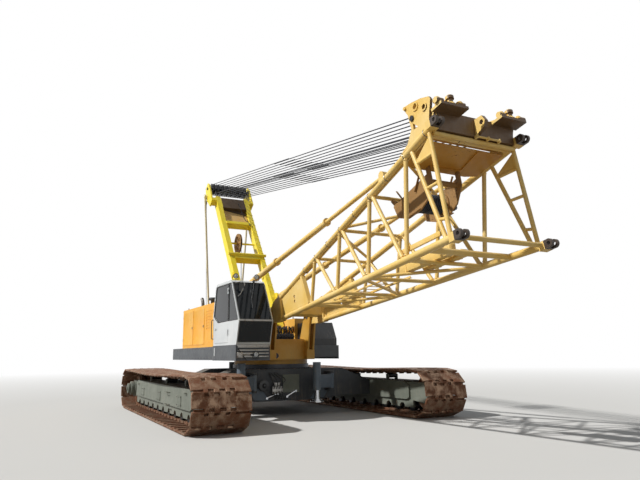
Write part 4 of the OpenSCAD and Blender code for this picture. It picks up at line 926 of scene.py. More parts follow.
def paddle_latch(x, z):
    """A flush latch: a shallow cup with a turned-up paddle in it."""
    cup = rod_piece("cup", (x, -DOOR_PROUD - 0.006, z), (x, 0, z), 0.045, 20)
    press(cup, "-Y", 0.007, (0, 0.008, 0), draw=True)
    paddle = box_piece("paddle", (x - 0.03, -DOOR_PROUD - 0.008, z - 0.012), (x + 0.03, -DOOR_PROUD, z + 0.012))
    return joined("latch", [cup, soften(paddle, 0.003, 1)])


def hang_doors(name, side, face_y, low_z, high_z, spans, node):
    """Doors on a housing's outer face; spans are their (x0, x1)."""
    leaves = [housing_door(x0, x1, low_z, high_z) for x0, x1 in spans]
    latches = [paddle_latch(x1 - 0.11, (low_z + high_z) / 2) for x0, x1 in spans]
    for group, material, label in ((leaves, orange, "_doors"), (latches, worn_steel, "_latches")):
        piece = joined(name + label, group)
        if side > 0:
            piece.data.transform(Matrix.Diagonal((1, -1, 1, 1)))
            piece.data.flip_normals()
        piece.data.transform(at((0, face_y, 0)))
        fasten(piece, material, node)


hang_doors("right_housing", -1, RIGHT_LOW.y, DECK_TOP + 0.10, RIGHT_HIGH.z - 0.10,
           [(-4.70, -3.25), (-3.17, -1.72), (-0.60, 0.62)], "engine_housing")
hang_doors("left_housing", 1, LEFT_HIGH.y, DECK_TOP + 0.09, LEFT_HIGH.z - 0.08,
           [(-3.55, -2.02), (-0.92, 0.18)], "left_housing")
print("doors hung")

# %% [markdown]
# On the roof of the right housing stand the engine's exhaust with its collar and the air cleaner's hood.
# The hood is a turned shape: a cylinder whose rings are moved in and out in edit mode, as on a lathe, and the exhaust
# is a bent pipe.

# %% Exhaust and air cleaner
ROOF, ROOF_Y, EXHAUST_X, CLEANER_X = RIGHT_HIGH.z, -1.35, -3.9, -2.5
pipe_run = path_piece("exhaust", [(EXHAUST_X, ROOF_Y, ROOF - 0.01), (EXHAUST_X, ROOF_Y, ROOF + 0.30),
                                  (EXHAUST_X - 0.15, ROOF_Y, ROOF + 0.46)], 0.065, sides=4)
collar = rod_piece("collar", (EXHAUST_X, ROOF_Y, ROOF), (EXHAUST_X, ROOF_Y, ROOF + 0.03), 0.12, 20)
assemble("exhaust_pipe", [pipe_run, soften(collar, 0.008)], lug_steel, "engine_housing")

hood = rod_piece("air_cleaner_hood", (CLEANER_X, ROOF_Y, ROOF), (CLEANER_X, ROOF_Y, ROOF + 0.26), 0.10, 24)
edit(hood, "FACE", lambda p, n: n.z > 0.9)
extrude(0, 0, 0.001)
bpy.ops.transform.resize(value=(1.9, 1.9, 1), center_override=(CLEANER_X, ROOF_Y, ROOF))
extrude(0, 0, 0.07)
bpy.ops.mesh.inset(thickness=0.03)
move(0, 0, 0.03)
leave()
fasten(soften(hood, 0.008), black_paint, "engine_housing")


def lifting_eye(x, y, z):
    """A ring of round bar that stands on a roof."""
    ring = torus_piece("eye", 0.045, 0.011, 20, 8, location=(x, y, z + 0.045), rotation=(math.radians(90), 0, 0))
    settle(ring)
    return joined("eye", [ring, soften(box_piece("foot", (x - 0.05, y - 0.03, z), (x + 0.05, y + 0.03, z + 0.012)),
                                       0.004, 1)])


eyes = [lifting_eye(x, y, top) for x in (-4.55, -0.2)
        for y, top in ((-1.75, ROOF), (-0.95, ROOF), (1.75, LEFT_HIGH.z), (0.95, LEFT_HIGH.z))]
assemble("roof_lifting_eyes", eyes, worn_steel, "engine_housing")
print("roof pieces:", 2 + len(eyes))

# %% [markdown]
# Between the boom's foot ears sits the machine's hydraulics: a bank of valves on the front beam, from which
# hoses arch back to the winches. A valve bank is a row of castings with round caps, so one slice is modelled
# and copied along the row. Hoses sag a little, so they get soft handles.

# %% Valve bank and hoses
BEAM_TOP, SLICE_STEP, SLICES, BANK_X, UNION_X = 2.40, 0.10, 7, 1.02, 0.08


def valve_slice():
    """One slice of the bank at the origin: a casting with a cap at each end and two hose unions on top."""
    body = box_piece("body", (-0.16, -0.045, 0), (0.16, 0.045, 0.17))
    press(body, "+Z", 0.015, (0, 0, 0.02))
    parts = [soften(body, 0.006)]
    for s in (-1, 1):
        parts += [soften(rod_piece("cap", (s * 0.15, 0, 0.09), (s * 0.24, 0, 0.09), 0.032, 12), 0.008),
                  rod_piece("union", (s * UNION_X, 0, 0.18), (s * UNION_X, 0, 0.245), 0.020, 6)]
    return joined("slice", parts)


slice_y = [(i - (SLICES - 1) / 2) * SLICE_STEP for i in range(SLICES)]
assemble("valve_bank", copies(valve_slice(), [at((BANK_X, y, BEAM_TOP)) for y in slice_y]), greased_steel, "main_frame")
hoses = []
for i, y in enumerate(slice_y):
    for s in (-1, 1):
        x, far_y = BANK_X + s * UNION_X, y * 1.6 + s * 0.03
        run = [(0, y, 0.24), (-0.03, y, 0.38 + 0.02 * (i % 3)), (-0.30, far_y, 0.36 - 0.05 * (i % 2)),
               (-0.75, far_y, 0.02), (-1.05, far_y, -0.10)]
        hoses.append(path_piece("hose", [(x + dx, hose_y, BEAM_TOP + up) for dx, hose_y, up in run], 0.017, soft=True))
assemble("valve_hoses", hoses, rubber, "main_frame")
print("valve bank:", SLICES, "slices,", 2 * SLICES, "hoses")

# %% [markdown]
# Each hoist drum holds its rope in neat turns side by side. The rope is one helix with a step of a rope's
# thickness, laid on the drum's barrel, and it rides on the drum so that it turns with it.

# %% Rope on the drums
ROPE_RADIUS, TURN_POINTS, BARREL_RADIUS, DRUM_CHEEK = 0.014, 16, 0.300, 0.16


def helix(name, centre, radius, half, turns):
    """A rope wound on an axis along Y, half to either side of a centre."""
    steps = turns * TURN_POINTS
    points = [Vector(centre) + rim(radius, 2 * math.pi * k / TURN_POINTS) + Vector((0, 2 * half * k / steps - half, 0))
              for k in range(steps)]
    return path_piece(name, points, ROPE_RADIUS, sides=1)


for node in ("hoist_drum_front", "hoist_drum_rear"):
    low, high = span(node)
    half = (high.y - low.y) / 2 - DRUM_CHEEK
    turns = int(2 * half / (2 * ROPE_RADIUS + 0.003))
    fasten(helix(node + "_rope", (low + high) / 2, BARREL_RADIUS + ROPE_RADIUS, half, turns), rope_wire, node)
    print(node, "turns of rope:", turns)

# %% [markdown]
# Small things on the decks finish the superstructure: the eye in the front beam, the white marker on the
# platform's edge, a grab rail at the rear of the cab's door, and heads of the bolts that hold the skirts.

# %% Deck fittings
FRONT_X, EYE_Y, EYE_Z, GRAB_X = 1.50, -0.443, 1.87, 0.86
eye_ring = rod_piece("ring", (FRONT_X - 0.002, EYE_Y, EYE_Z), (FRONT_X + 0.022, EYE_Y, EYE_Z), 0.085, 28)
press(eye_ring, "+X", 0.022, (-0.021, 0, 0), draw=True)
fasten(soften(eye_ring, 0.003, 1), greased_steel, "main_frame")
marker = box_piece("platform_marker", (1.00, CAB_OUT - 0.006, 1.89), (1.065, CAB_OUT + 0.001, 2.14))
fasten(soften(marker, 0.002, 1), cab_white, "side_decks")
grab = [(GRAB_X, CAB_OUT + out, z) for out, z in ((0.01, 2.42), (-0.06, 2.42), (-0.06, 3.02), (0.03, 3.02))]
fasten(path_piece("cab_grab_rail", grab, 0.013), black_paint, "cab_shell")


def bolt_head(radius, height):
    """A hexagon head with its washer at the origin, standing on z = 0."""
    washer = rod_piece("washer", (0, 0, 0), (0, 0, height * 0.2), radius * 1.25, 12)
    head = rod_piece("head", (0, 0, height * 0.2), (0, 0, height), radius, 6)
    press(head, "+Z", radius * 0.15, (0, 0, height * 0.08))
    return joined("bolt", [washer, head])


def bolt_row(name, places, outward, node, radius=0.018, height=0.014):
    """Copies of a bolt head at places, all looking the same way."""
    assemble(name, copies(bolt_head(radius, height), [facing(p, outward) for p in places]), worn_steel, node)
    print(name, len(places))


SKIRT_Y, SKIRT_ROWS = 1.90, (1.82, 2.13)
bolt_row("right_skirt_bolts", [(x / 10, -SKIRT_Y, z) for x in range(-62, 7, 4) for z in SKIRT_ROWS],
         (0, -1, 0), "side_decks")
bolt_row("left_skirt_bolts", [(x / 10, SKIRT_Y, z) for x in range(-62, 14, 4) for z in SKIRT_ROWS],
         (0, 1, 0), "side_decks")
bolt_row("front_beam_bolts", [(FRONT_X, y, z) for y in (-0.70, -0.58, 0.58, 0.70) for z in (1.83, 1.93, 2.03)],
         (1, 0, 0), "main_frame", 0.024, 0.02)

# %% [markdown]
# The boom is drawn in its own frame in the CAD model: u runs along its axis from the foot pins, v stands
# square to it, and y points to the machine's left. The same frame is rebuilt here from the boom's angle, so that a
# piece on the boom is placed by the distance along it. The chords spread from the foot to the outer end.

# %% The boom's own frame
BOOM_LENGTH, CHORD_RADIUS = 9.6, 0.075
FOOT_HALF_WIDTH, END_HALF_WIDTH, FOOT_HALF_DEPTH, END_HALF_DEPTH = 0.683, 1.115, 0.240, 1.170
boom_place = at(FOOT_PIN) @ Matrix.Rotation(-BOOM_TILT, 4, "Y")


def half_width(u):
    return FOOT_HALF_WIDTH + (END_HALF_WIDTH - FOOT_HALF_WIDTH) * u / BOOM_LENGTH


def half_depth(u):
    return FOOT_HALF_DEPTH + (END_HALF_DEPTH - FOOT_HALF_DEPTH) * u / BOOM_LENGTH


def chord_point(u, side, level):
    return Vector((u, side * half_width(u), level * half_depth(u)))


def on_boom(name, pieces, material, node):
    """Joins pieces, turns them from the boom's frame into the world's and fastens them to the boom."""
    piece = joined(name, pieces)
    piece.data.transform(boom_place)
    fasten(piece, material, node, "boom")


print("outer end of the boom:", [round(v, 2) for v in boom_place @ Vector((BOOM_LENGTH, 0, 0))])

# %% [markdown]
# Tubes are joined to chords by a fillet weld, a thin ring of ripples where each tube ends. One ring is modelled at
# the origin as a torus whose section is swollen in steps, and copied to every joint, turned to the tube.

# %% Weld rings where the lacing meets the chords
BAY, FIRST_TOP, FIRST_BOTTOM, JOINT_GAP, CLEAR = BOOM_LENGTH / 6, 3.67, 3.08, 0.042, 0.02
LACING_RADIUS, FACE_RADIUS = 0.048, 0.044
top_joints = [FIRST_TOP + i * BAY for i in range(4)]
bottom_joints = [FIRST_BOTTOM + i * (BAY - 0.025) for i in range(4)]


def weld_ring(radius):
    ring = torus_piece("weld", radius + 0.004, 0.009, 24, 6)
    edit(ring, "VERT", lambda p, n: int(math.degrees(math.atan2(p.y, p.x)) // 15) % 2 == 0)
    bpy.ops.transform.resize(value=(1.02, 1.02, 1.25))
    leave()
    return ring


def weld_places(first, last):
    """The two ends of a tube between two chords, each at its chord's surface and turned along the tube."""
    along = (last - first).normalized()
    reach = along * (CHORD_RADIUS + 0.012)
    return [facing(first + reach, along), facing(last - reach, -along)]


side_places, face_places = [], []
for side in (-1, 1):
    runs = [(top_joints[i] - JOINT_GAP, bottom_joints[i] + JOINT_GAP) for i in range(4)]
    runs += [(top_joints[i] + JOINT_GAP + CLEAR, bottom_joints[i + 1] - JOINT_GAP - CLEAR) for i in range(3)]
    for u_top, u_bottom in runs:
        side_places += weld_places(chord_point(u_top, side, 1), chord_point(u_bottom, side, -1))
for level, joints in ((1, top_joints), (-1, bottom_joints)):
    for u in joints:
        face_places += weld_places(chord_point(u, 1, level), chord_point(u, -1, level))
on_boom("lacing_welds", copies(weld_ring(LACING_RADIUS), side_places) + copies(weld_ring(FACE_RADIUS), face_places),
        cream, "side_lacing")
print("welds:", len(side_places) + len(face_places))

# %% [markdown]
# A ladder lies inside the boom along its bottom face, so that a rigger can crawl to the winch. Two rails of
# angle bar carry rungs of round bar. Past its end two box beams lie on the same cross tubes, and a rail is
# fixed along the inside of the right side lacing.

# %% Ladder, box beams and rail inside the boom
LADDER_FIRST, LADDER_LAST, LADDER_HALF, RUNG_STEP = 3.15, 6.25, 0.24, 0.30
ANGLE_BAR = ((0.0, (0.006, 0.05)), (0.022, (0.05, 0.006)))
BEAM_HALF, BEAMS = 0.09, ((6.40, 8.30, -0.20, 0.24), (6.95, 8.24, 0.16, 0.15))
RAIL_FIRST, RAIL_LAST, RAIL_MIDDLE = 7.62, 8.96, 8.2


def bottom_height(u):
    """The height of a piece that lies on the bottom cross tubes."""
    return -half_depth(u) + FACE_RADIUS + 0.03


def lay_down(piece, first, last, y=0.0, lift=0.0):
    """Tips a piece, drawn level from u = first on, so that it lies along the bottom face."""
    slope = -math.atan2(bottom_height(last) - bottom_height(first), last - first)
    piece.data.transform(at((first, y, bottom_height(first) + lift)) @ Matrix.Rotation(slope, 4, "Y")
                         @ at((-first, 0, 0)))
    return piece


ladder = []
for side in (-1, 1):
    for offset, (wide, high) in ANGLE_BAR:
        bar = box_piece("rail", (LADDER_FIRST, -wide / 2, 0), (LADDER_LAST, wide / 2, high))
        ladder.append(lay_down(bar, LADDER_FIRST, LADDER_LAST, side * (LADDER_HALF + offset)))
rungs = int((LADDER_LAST - LADDER_FIRST) / RUNG_STEP)
for k in range(rungs):
    u = LADDER_FIRST + (k + 0.5) * RUNG_STEP
    v = bottom_height(u) + 0.025
    ladder.append(rod_piece("rung", (u, -LADDER_HALF, v), (u, LADDER_HALF, v), 0.011, 8))
on_boom("boom_ladder", ladder, cream, "face_lacing")

beams = []
for first, last, y, deep in BEAMS:
    beam = box_piece("beam", (first, y - BEAM_HALF, 0), (last, y + BEAM_HALF, deep))
    edit(beam, "FACE", lambda p, n: abs(n.x) > 0.9)
    bpy.ops.mesh.inset(thickness=0.045)
    bpy.ops.transform.resize(value=(1.03, 1, 1), center_override=((first + last) / 2, y, 0))
    leave()
    plates = [box_piece("plate", (u, y - BEAM_HALF - 0.008, -0.004), (u + 0.06, y + BEAM_HALF + 0.008, deep + 0.008))
              for u in (first + 0.35, first + 0.95, last - 0.25)]
    beams.append(lay_down(joined("beam", [soften(beam, 0.014)] + plates), first, last, lift=-0.02))
on_boom("boom_box_beams", beams, cream, "face_lacing")

side_y = -half_width(RAIL_MIDDLE)
rail = box_piece("rail", (RAIL_FIRST, side_y + 0.04, 0.17), (RAIL_LAST, side_y + 0.09, 0.27))
press(rail, "+Y", 0.018, (0, -0.012, 0))
soften(rail, 0.006)
for vertex in rail.data.vertices:
    u = vertex.co.x
    vertex.co += Vector((0, half_width(RAIL_MIDDLE) - half_width(u), -half_depth(u)))
on_boom("rail", [rail], cream, "side_lacing")
print("ladder rungs:", rungs, "box beams:", len(BEAMS))

# %% [markdown]
# The winch in the boom reels the rope that pulls pins. Its drum holds rope like the others, a hydraulic motor
# sits on one side, and stiffening ribs are welded to its cheeks. Cable and two grease pipes run along a top
# chord, painted over with it, and held by clips about every 0.8 m.

# %% Winch details, cable and pipes
WINCH, WINCH_CHEEK, WINCH_COIL, WINCH_TURNS = Vector((BOOM_LENGTH - 2.0, 0, 0.48)), 0.42, 0.214, 20
MOTOR_STEPS = ((0.115, 0.55, 0.60), (0.085, 0.60, 0.74), (0.05, 0.74, 0.80))
RIBS = ((-0.35, 0.30, 0.42, 60), (0.32, 0.34, 0.46, -50), (0.0, -0.28, 0.5, 0))
CLIP_COUNT, CLIP_STEP = 9, 0.78
on_boom("boom_winch_rope", [helix("rope", WINCH, WINCH_COIL, 0.30, WINCH_TURNS)], rope_wire, "boom_winch")
on_boom("boom_winch_motor", stepped("motor", WINCH, (0, 1, 0), MOTOR_STEPS, 20, 0.008), greased_steel, "boom_winch")
ribs = []
for side in (-1, 1):
    for du, dv, length, degrees in RIBS:
        edges = sorted((0, side * 0.05))
        rib = box_piece("rib", (-length / 2, edges[0], -0.006), (length / 2, edges[1], 0.006))
        rib.data.transform(turned(WINCH + Vector((du, side * WINCH_CHEEK, dv)), degrees, "Y"))
        ribs.append(rib)
on_boom("boom_winch_ribs", ribs, winch_brown, "boom_winch")

runs = []
for index, radius in enumerate((0.016, 0.010, 0.010)):
    angle = math.radians(125 + 22 * index)
    reach = CHORD_RADIUS + radius + 0.004
    beside = Vector((0, -reach * math.cos(angle), -reach * math.sin(angle)))
    runs.append(path_piece("run", [chord_point(2.9 + step * CLIP_STEP, -1, 1) + beside for step in range(CLIP_COUNT)],
                           radius, soft=True, sides=1))
on_boom("boom_cable_runs", runs, cream, "boom_chords")
clip = torus_piece("clip", CHORD_RADIUS + 0.008, 0.007, 28, 6, rotation=(0, math.radians(90), 0))
settle(clip)
clips = copies(clip, [at(chord_point(2.95 + step * CLIP_STEP, -1, 1)) for step in range(CLIP_COUNT)])
on_boom("boom_cable_clips", clips, worn_steel, "boom_chords")
print("winch rope turns:", WINCH_TURNS, "clips:", CLIP_COUNT)

# %% [markdown]
# The cross-head closes the boom's outer end. A round tube runs across under its beam, and on the shelf above
# stand two groups of pin-pulling gear, each with a tall bell in the middle and a lower dome on either side.

# %% Front tube and the domes on the shelf
TUBE_U, TUBE_V, TUBE_REACH, SHORT_U, SHORT_V = 9.35, 1.052, 1.05, 9.475, 1.085
SHELF_V, GEAR_U, GEAR_Y = 1.50, 9.66, 0.80
GEAR = ((-0.255, 0.02, 1.0), (0.265, -0.02, 1.12), (0.0, -0.12, 1.35))
tube = rod_piece("front_tube", (TUBE_U, -TUBE_REACH, TUBE_V), (TUBE_U, TUBE_REACH, TUBE_V), 0.047, 24)
short = rod_piece("short_tube", (SHORT_U, -0.06, SHORT_V), (SHORT_U, 0.56, SHORT_V), 0.022, 16)
blocks = [box_piece("block", (9.42, y - 0.02, 1.05), (9.50, y + 0.02, 1.12)) for y in (-0.05, 0.25, 0.55)]
on_boom("head_front_tube", [tube, short] + blocks, cream, "cross_head")


def dome(radius, height):
    """A turned dome with a collar under it, standing at the origin."""
    cap, foot = half_ball("dome", radius), height - radius
    cap.location.z = foot
    settle(cap)
    neck = rod_piece("neck", (0, 0, 0), (0, 0, foot + 0.002), radius * 0.72, 16)
    collar = rod_piece("collar", (0, 0, foot - 0.022), (0, 0, foot - 0.001), radius * 1.14, 20)
    return joined("dome", [cap, neck, collar])


gear = copies(dome(0.068, 0.165), [at((GEAR_U + du, side * (GEAR_Y + dy), SHELF_V - 0.002)) @ Matrix.Scale(size, 4)
                                   for side in (-1, 1) for dy, du, size in GEAR])
on_boom("head_domes", gear, cream, "cross_head")
PIPE_RUN = ((9.60, 1.03, 0.02), (9.66, 0.92, 0.07), (9.72, 0.70, 0.03), (9.60, 0.50, 0.05))
pipes = [path_piece("pipe", [(u, side * y, SHELF_V + lift) for u, y, lift in PIPE_RUN], 0.012, soft=True, sides=1)
         for side in (-1, 1)]
on_boom("head_pipes", pipes, rubber, "cross_head")
print("domes:", 2 * len(GEAR))

# %% [markdown]
# The A-frame folds back for transport, so it carries little: rungs on one leg for the rigger, a tan plate
# between the legs with two dark brown sheets and a lip above it that are painted shade, a cable, and the shackles
# of the two rear ties. Pieces on the legs use the legs' own frame, which is worked out from the foot pin and the head
# shaft.

# %% Rungs on the left leg, painted shade sheets, a tan plate and a cable between the legs
MAST_FOOT, MAST_HEAD, LEG_Y = Vector((-0.5, 0, 2.62)), Vector((-5.05, 0, 9.15)), 0.63
leg_run = MAST_HEAD - MAST_FOOT
MAST_TILT = math.atan2(-leg_run.x, leg_run.z)
mast_place = at(MAST_FOOT) @ Matrix.Rotation(-MAST_TILT, 4, "Y")
MAST_RUNG_STEP, RUNG_FIRST, RUNG_LAST, RUNG_OUT, RUNG_HALF = 0.33, 0.9, 6.6, 0.09, 0.07
LEG_FACE, PLATE_FACE, PLATE_HALF = 0.17, 0.010, 0.518


def on_mast(name, pieces, material):
    piece = joined(name, pieces)
    piece.data.transform(mast_place)
    fasten(piece, material, "a_frame")


def loop_handle(name, corner, across, out, radius, sides=2):
    """A handle of bent bar: it leaves a face at a corner, runs across and returns."""
    corner, across, out = Vector(corner), Vector(across), Vector(out)
    return path_piece(name, [corner, corner + out, corner + across + out, corner + across], radius, sides=sides)


rungs = [loop_handle("rung", (LEG_FACE - 0.01, LEG_Y - RUNG_HALF, RUNG_FIRST + k * MAST_RUNG_STEP),
                     (0, 2 * RUNG_HALF, 0), (RUNG_OUT + 0.01, 0, 0), 0.010, 1)
         for k in range(int((RUNG_LAST - RUNG_FIRST) / MAST_RUNG_STEP))]
on_mast("mast_rungs", rungs, lemon)

# The top and upper sheets and the lip are dark brown painted shade; the lower plate is tan.
MAST_PLATES = (("top_shade_sheet", LEG_FACE + 0.006, painted_shade_brown, (6.61, 6.61, 7.22, 7.22)),
          ("upper_shade_sheet", PLATE_FACE + 0.012, painted_shade_brown, (6.595, 6.34, 6.615, 6.615)),
          ("lower_guard", PLATE_FACE + 0.012, guard_tan, (5.76, 5.76, 6.32, 6.58)))
for name, x, material, heights in MAST_PLATES:
    ys = (-PLATE_HALF, PLATE_HALF, PLATE_HALF, -PLATE_HALF)
    plate = quad_piece(name, [(x, y, z) for y, z in zip(ys, heights)])
    edit(plate, "FACE", lambda p, n: True)
    bpy.ops.mesh.inset(thickness=0.03)
    move(0.004, 0, 0)
    leave()
    modify(plate, "SOLIDIFY", thickness=0.008, offset=0)
    on_mast(name, [plate], material)
on_mast("top_shade_sheet_lip", [box_piece("lip", (0.012, -PLATE_HALF, 6.598), (0.180, PLATE_HALF, 6.612))], painted_shade_brown)
CABLE = [(LEG_FACE + 0.03, 0.22, 6.95), (LEG_FACE + 0.05, 0.24, 6.60), (0.12, 0.32, 6.25), (0.10, 0.40, 5.95),
         (0.215, 0.44, 5.72), (0.215, 0.46, 5.55)]
on_mast("mast_cable", [path_piece("cable", CABLE, 0.014, soft=True, sides=1)], rubber)
print("leg tilt:", round(math.degrees(MAST_TILT), 1), "guard plates:", len(MAST_PLATES))

# %% [markdown]
# The rope sheaves in the head turn between three guard rods that keep slack rope in its groove. Under each
# rear tie's eye hangs a bow shackle, a forged U with a screw pin through its ears, with a thin line below it.

# %% Rope guards, shackles and lines
HEAD_HALF_ROW, GUARD_RADIUS = 0.86, 0.285
guards = []
for degrees in (135, 180, 225):
    middle, half_row = MAST_HEAD + rim(GUARD_RADIUS, math.radians(degrees)), Vector((0, HEAD_HALF_ROW, 0))
    guards.append(rod_piece("guard", middle - half_row, middle + half_row, 0.016, 10))
assemble("head_rope_guards", guards, lug_steel, "a_frame")


def bow_shackle(s):
    """A shackle of size s at the origin that hangs down from its pin, which lies along Y."""
    arc = [(0, s * 0.55 * math.cos(a), -s * (0.75 + 0.55 * math.sin(a))) for a in [math.pi * k / 8 for k in range(9)]]
    rods = [rod_piece(name, (0, s * first, 0), (0, s * last, 0), s * radius, sides)
            for name, first, last, radius, sides in (("pin", -0.72, 0.72, 0.17, 12), ("ear", -0.34, -0.52, 0.3, 16),
                                                     ("ear", 0.34, 0.52, 0.3, 16), ("head", 0.66, 0.78, 0.24, 8))]
    return joined("shackle", [path_piece("bow", [(0, s * 0.42, 0)] + arc + [(0, -s * 0.42, 0)], s * 0.16)] + rods)


TIE_X, TIE_Y, SHACKLE_Z, LINE_FOOT = -5.20, 0.95, 8.60, (-5.40, LEG_Y + 0.14, 3.46)
shackles = copies(bow_shackle(0.10), [turned((TIE_X, s * TIE_Y, SHACKLE_Z), 90, "Z") for s in (-1, 1)])
assemble("rear_tie_shackles", shackles, worn_steel, "rear_ties")
lines = [path_piece("line", [(TIE_X, s * TIE_Y, SHACKLE_Z - 0.12), (LINE_FOOT[0], s * LINE_FOOT[1], LINE_FOOT[2])],
                    0.009, sides=1) for s in (-1, 1)]
assemble("rear_tie_lines", lines, rope_wire, "rear_ties")
print("shackles:", len(lines))

# %% [markdown]
# The line from the rear drum runs up to the guide sheave, over it and down towards the boom. It is taut, so it is a
# straight rope with a wrap round the sheave's groove, and it stays on the superstructure.

# %% Hoist line over the guide sheave
GROOVE, LINE_RADIUS, DRUM_REACH, WRAP_END, LINE_END_Z, WRAP_STEPS = 0.365, 0.013, 0.335, math.radians(-5), 2.95, 12
sheave, drum = middle_of("guide_sheave"), middle_of("hoist_drum_rear")
behind = math.atan2(sheave.z - drum.z, sheave.x - drum.x) + math.radians(90)
leave_drum = drum + rim(DRUM_REACH, behind)
points = [(leave_drum.x, sheave.y, leave_drum.z)]
points += [sheave + rim(GROOVE, behind + (WRAP_END - behind) * k / WRAP_STEPS) for k in range(WRAP_STEPS + 1)]
points.append((sheave.x + rim(GROOVE, WRAP_END).x + 0.12, sheave.y, LINE_END_Z))
fasten(path_piece("hoist_line", points, LINE_RADIUS, sides=1), rope_wire, "a_frame_sheaves")
print("hoist line from the rear drum over the guide sheave")

# %% [markdown]
# Under the deck the car body carries the travel motors' piping. On its front face sit a valve block with
# unions and hoses, a hose reel, two tie rods, a pale cover and two sloping gussets. They stay close to the
# face, because the jack arms swing past in front of them.

# %% Front of the car body
FACE, BODY_TOP = 1.60, 1.45
cover = box_piece("cover", (FACE - 0.01, -0.27, 0.72), (FACE + 0.045, 0.31, 1.28))
press(cover, "+X", 0.035, (-0.012, 0, 0))
fasten(soften(cover, 0.006), grey_green, "car_body")

GUSSET = ((1.46, 0.90), (0.99, 0.86), (0.72, 0.50), (1.22, 0.52))
gussets = []
for side in (-1, 1):
    plate = quad_piece("gusset", [(FACE, side * y, z) for y, z in GUSSET])
    modify(plate, "SOLIDIFY", thickness=0.03, offset=0)
    gussets.append(soften(plate, 0.005, 1))
assemble("body_gussets", gussets, jack_grey, "car_body")

UNION_ROWS, UNION_Y, VALVE_HOSE = (0.76, 0.86), [-0.62 + 0.095 * k for k in range(4)], 0.015
valve = [soften(box_piece("block", (FACE - 0.005, y0, z0), (FACE + out, y1, z1)), 0.01)
         for out, y0, y1, z0, z1 in ((0.13, -0.66, -0.30, 0.70, 0.92), (0.09, -0.60, -0.36, 0.92, 1.04))]
valve += [rod_piece("union", (FACE + 0.12, y, z), (FACE + 0.165, y, z), 0.022, 6) for z in UNION_ROWS for y in UNION_Y]
assemble("travel_valve", valve, worn_steel, "car_body")
pipes = []
for k, y in enumerate(UNION_Y):
    upper = [(0.16, y, 0.86), (0.21, y, 0.93 + 0.03 * k), (0.17, y - 0.06 + 0.05 * k, 1.12), (0.04, y - 0.10, 1.30),
             (-0.10, y - 0.10, 1.42)]
    lower = [(0.16, y, 0.76), (0.20, y - 0.02, 0.69), (0.12, y + 0.10, 0.60 - 0.02 * k), (-0.02, y + 0.10, 0.52)]
    pipes += [path_piece("hose", [(FACE + out, hose_y, z) for out, hose_y, z in run], VALVE_HOSE, soft=True, sides=1)
              for run in (upper, lower)]
assemble("travel_hoses", pipes, rubber, "car_body")

REEL, REEL_SEAT = Vector((FACE, -0.95, 0.96)), 0.005
REEL_DISCS = ((0.17, 0.05, 0.075), (0.075, 0.0, 0.17), (0.17, 0.145, 0.17), (0.04, 0.17, 0.20))
TURNS = [2 * math.pi * t / 20 for t in range(21)]
reel = stepped("disc", REEL, (1, 0, 0), REEL_DISCS, 28, 0.006, REEL_SEAT)
for layer in range(4):
    for place in range(5):
        middle = REEL + Vector((0.083 + 0.012 * place, 0, 0))
        reel.append(path_piece("coil", [middle + rim(0.09 + 0.008 * layer, a, "X") for a in TURNS], 0.0065, sides=1))
assemble("hose_reel", reel, black_paint, "car_body")

TIE_OUT, TIES = 0.055, (((-0.83, 0.57), (-0.47, 0.70)), ((-0.14, 0.60), (0.17, 0.76)))
ties = []
for ends in TIES:
    ties.append(rod_piece("tie", *[(FACE + TIE_OUT, y, z) for y, z in ends], 0.028))
    ties += [rod_piece("eye", (FACE - 0.005, y, z), (FACE + 0.095, y, z), 0.036) for y, z in ends]
assemble("body_tie_rods", ties, chrome, "car_body")
print("front of the car body: 6 pieces")

# %% [markdown]
# The slewing ring is bolted down by a circle of large hexagon bolts on the car body. The side frames have
# tie-down eyes, bolted inspection covers and two steps, and from the car body two hoses run to each travel motor.

# %% Ring bolts, side frame covers, steps and travel hoses
RING_BOLTS, RING_BOLT_RADIUS, FRAME_FACE, COVER_THICK = 60, 1.36, GAUGE / 2 + 0.400, 0.014
bolts = []
for k in range(RING_BOLTS):
    foot = zenith * BODY_TOP + rim(RING_BOLT_RADIUS, 2 * math.pi * (k + 0.5) / RING_BOLTS, "Z")
    bolts += [rod_piece("bolt", foot - zenith * 0.002, foot + zenith * 0.030, 0.024, 6),
              rod_piece("washer", foot - zenith * 0.001, foot + zenith * 0.006, 0.030, 12)]
assemble("ring_bolts", bolts, greased_steel, "car_body")

covers, cover_bolts, eyes, steps = [], [], [], []
for side in (-1, 1):
    face = side * FRAME_FACE
    inner, outer = sorted((face, face + side * COVER_THICK))
    for x in (-2.6, 0.0, 2.6):
        plate = box_piece("cover", (x - 0.22, inner - 0.002, 0.55), (x + 0.22, outer + 0.002, 0.83))
        covers.append(soften(plate, 0.004, 1))
        cover_bolts += [rod_piece("bolt", (x + dx, face + side * 0.012, z), (x + dx, face + side * 0.030, z), 0.012, 6)
                        for dx in (-0.185, 0.0, 0.185) for z in (0.585, 0.795)]
    seat = face - side * 0.005
    eyes += [loop_handle("eye", (x - 0.06, seat, 0.93), (0.12, 0, 0), (0, side * 0.065, 0), 0.016)
             for x in (-3.35, 3.35)]
    steps += [loop_handle("step", (1.15, seat, z), (0.35, 0, 0), (0, side * 0.105, 0), 0.014) for z in (0.52, 0.86)]
assemble("frame_covers", covers + eyes + steps, grey_green, "track_frames")
assemble("frame_cover_bolts", cover_bolts, worn_steel, "track_frames")
MOTOR_RUN = ((-1.57, 2.62, 1.00), (-1.80, 2.70, 1.00), (-2.60, 2.94, 0.96), (-3.40, 2.955, 0.93), (-4.05, 3.03, 0.88))
motor_hoses = [path_piece("hose", [(x, side * y, z - drop) for x, y, z in MOTOR_RUN], 0.019, soft=True)
               for side in (-1, 1) for drop in (0, 0.07)]
assemble("travel_motor_hoses", motor_hoses, rubber, "car_body")
print("ring bolts:", RING_BOLTS, "hoses:", len(motor_hoses))

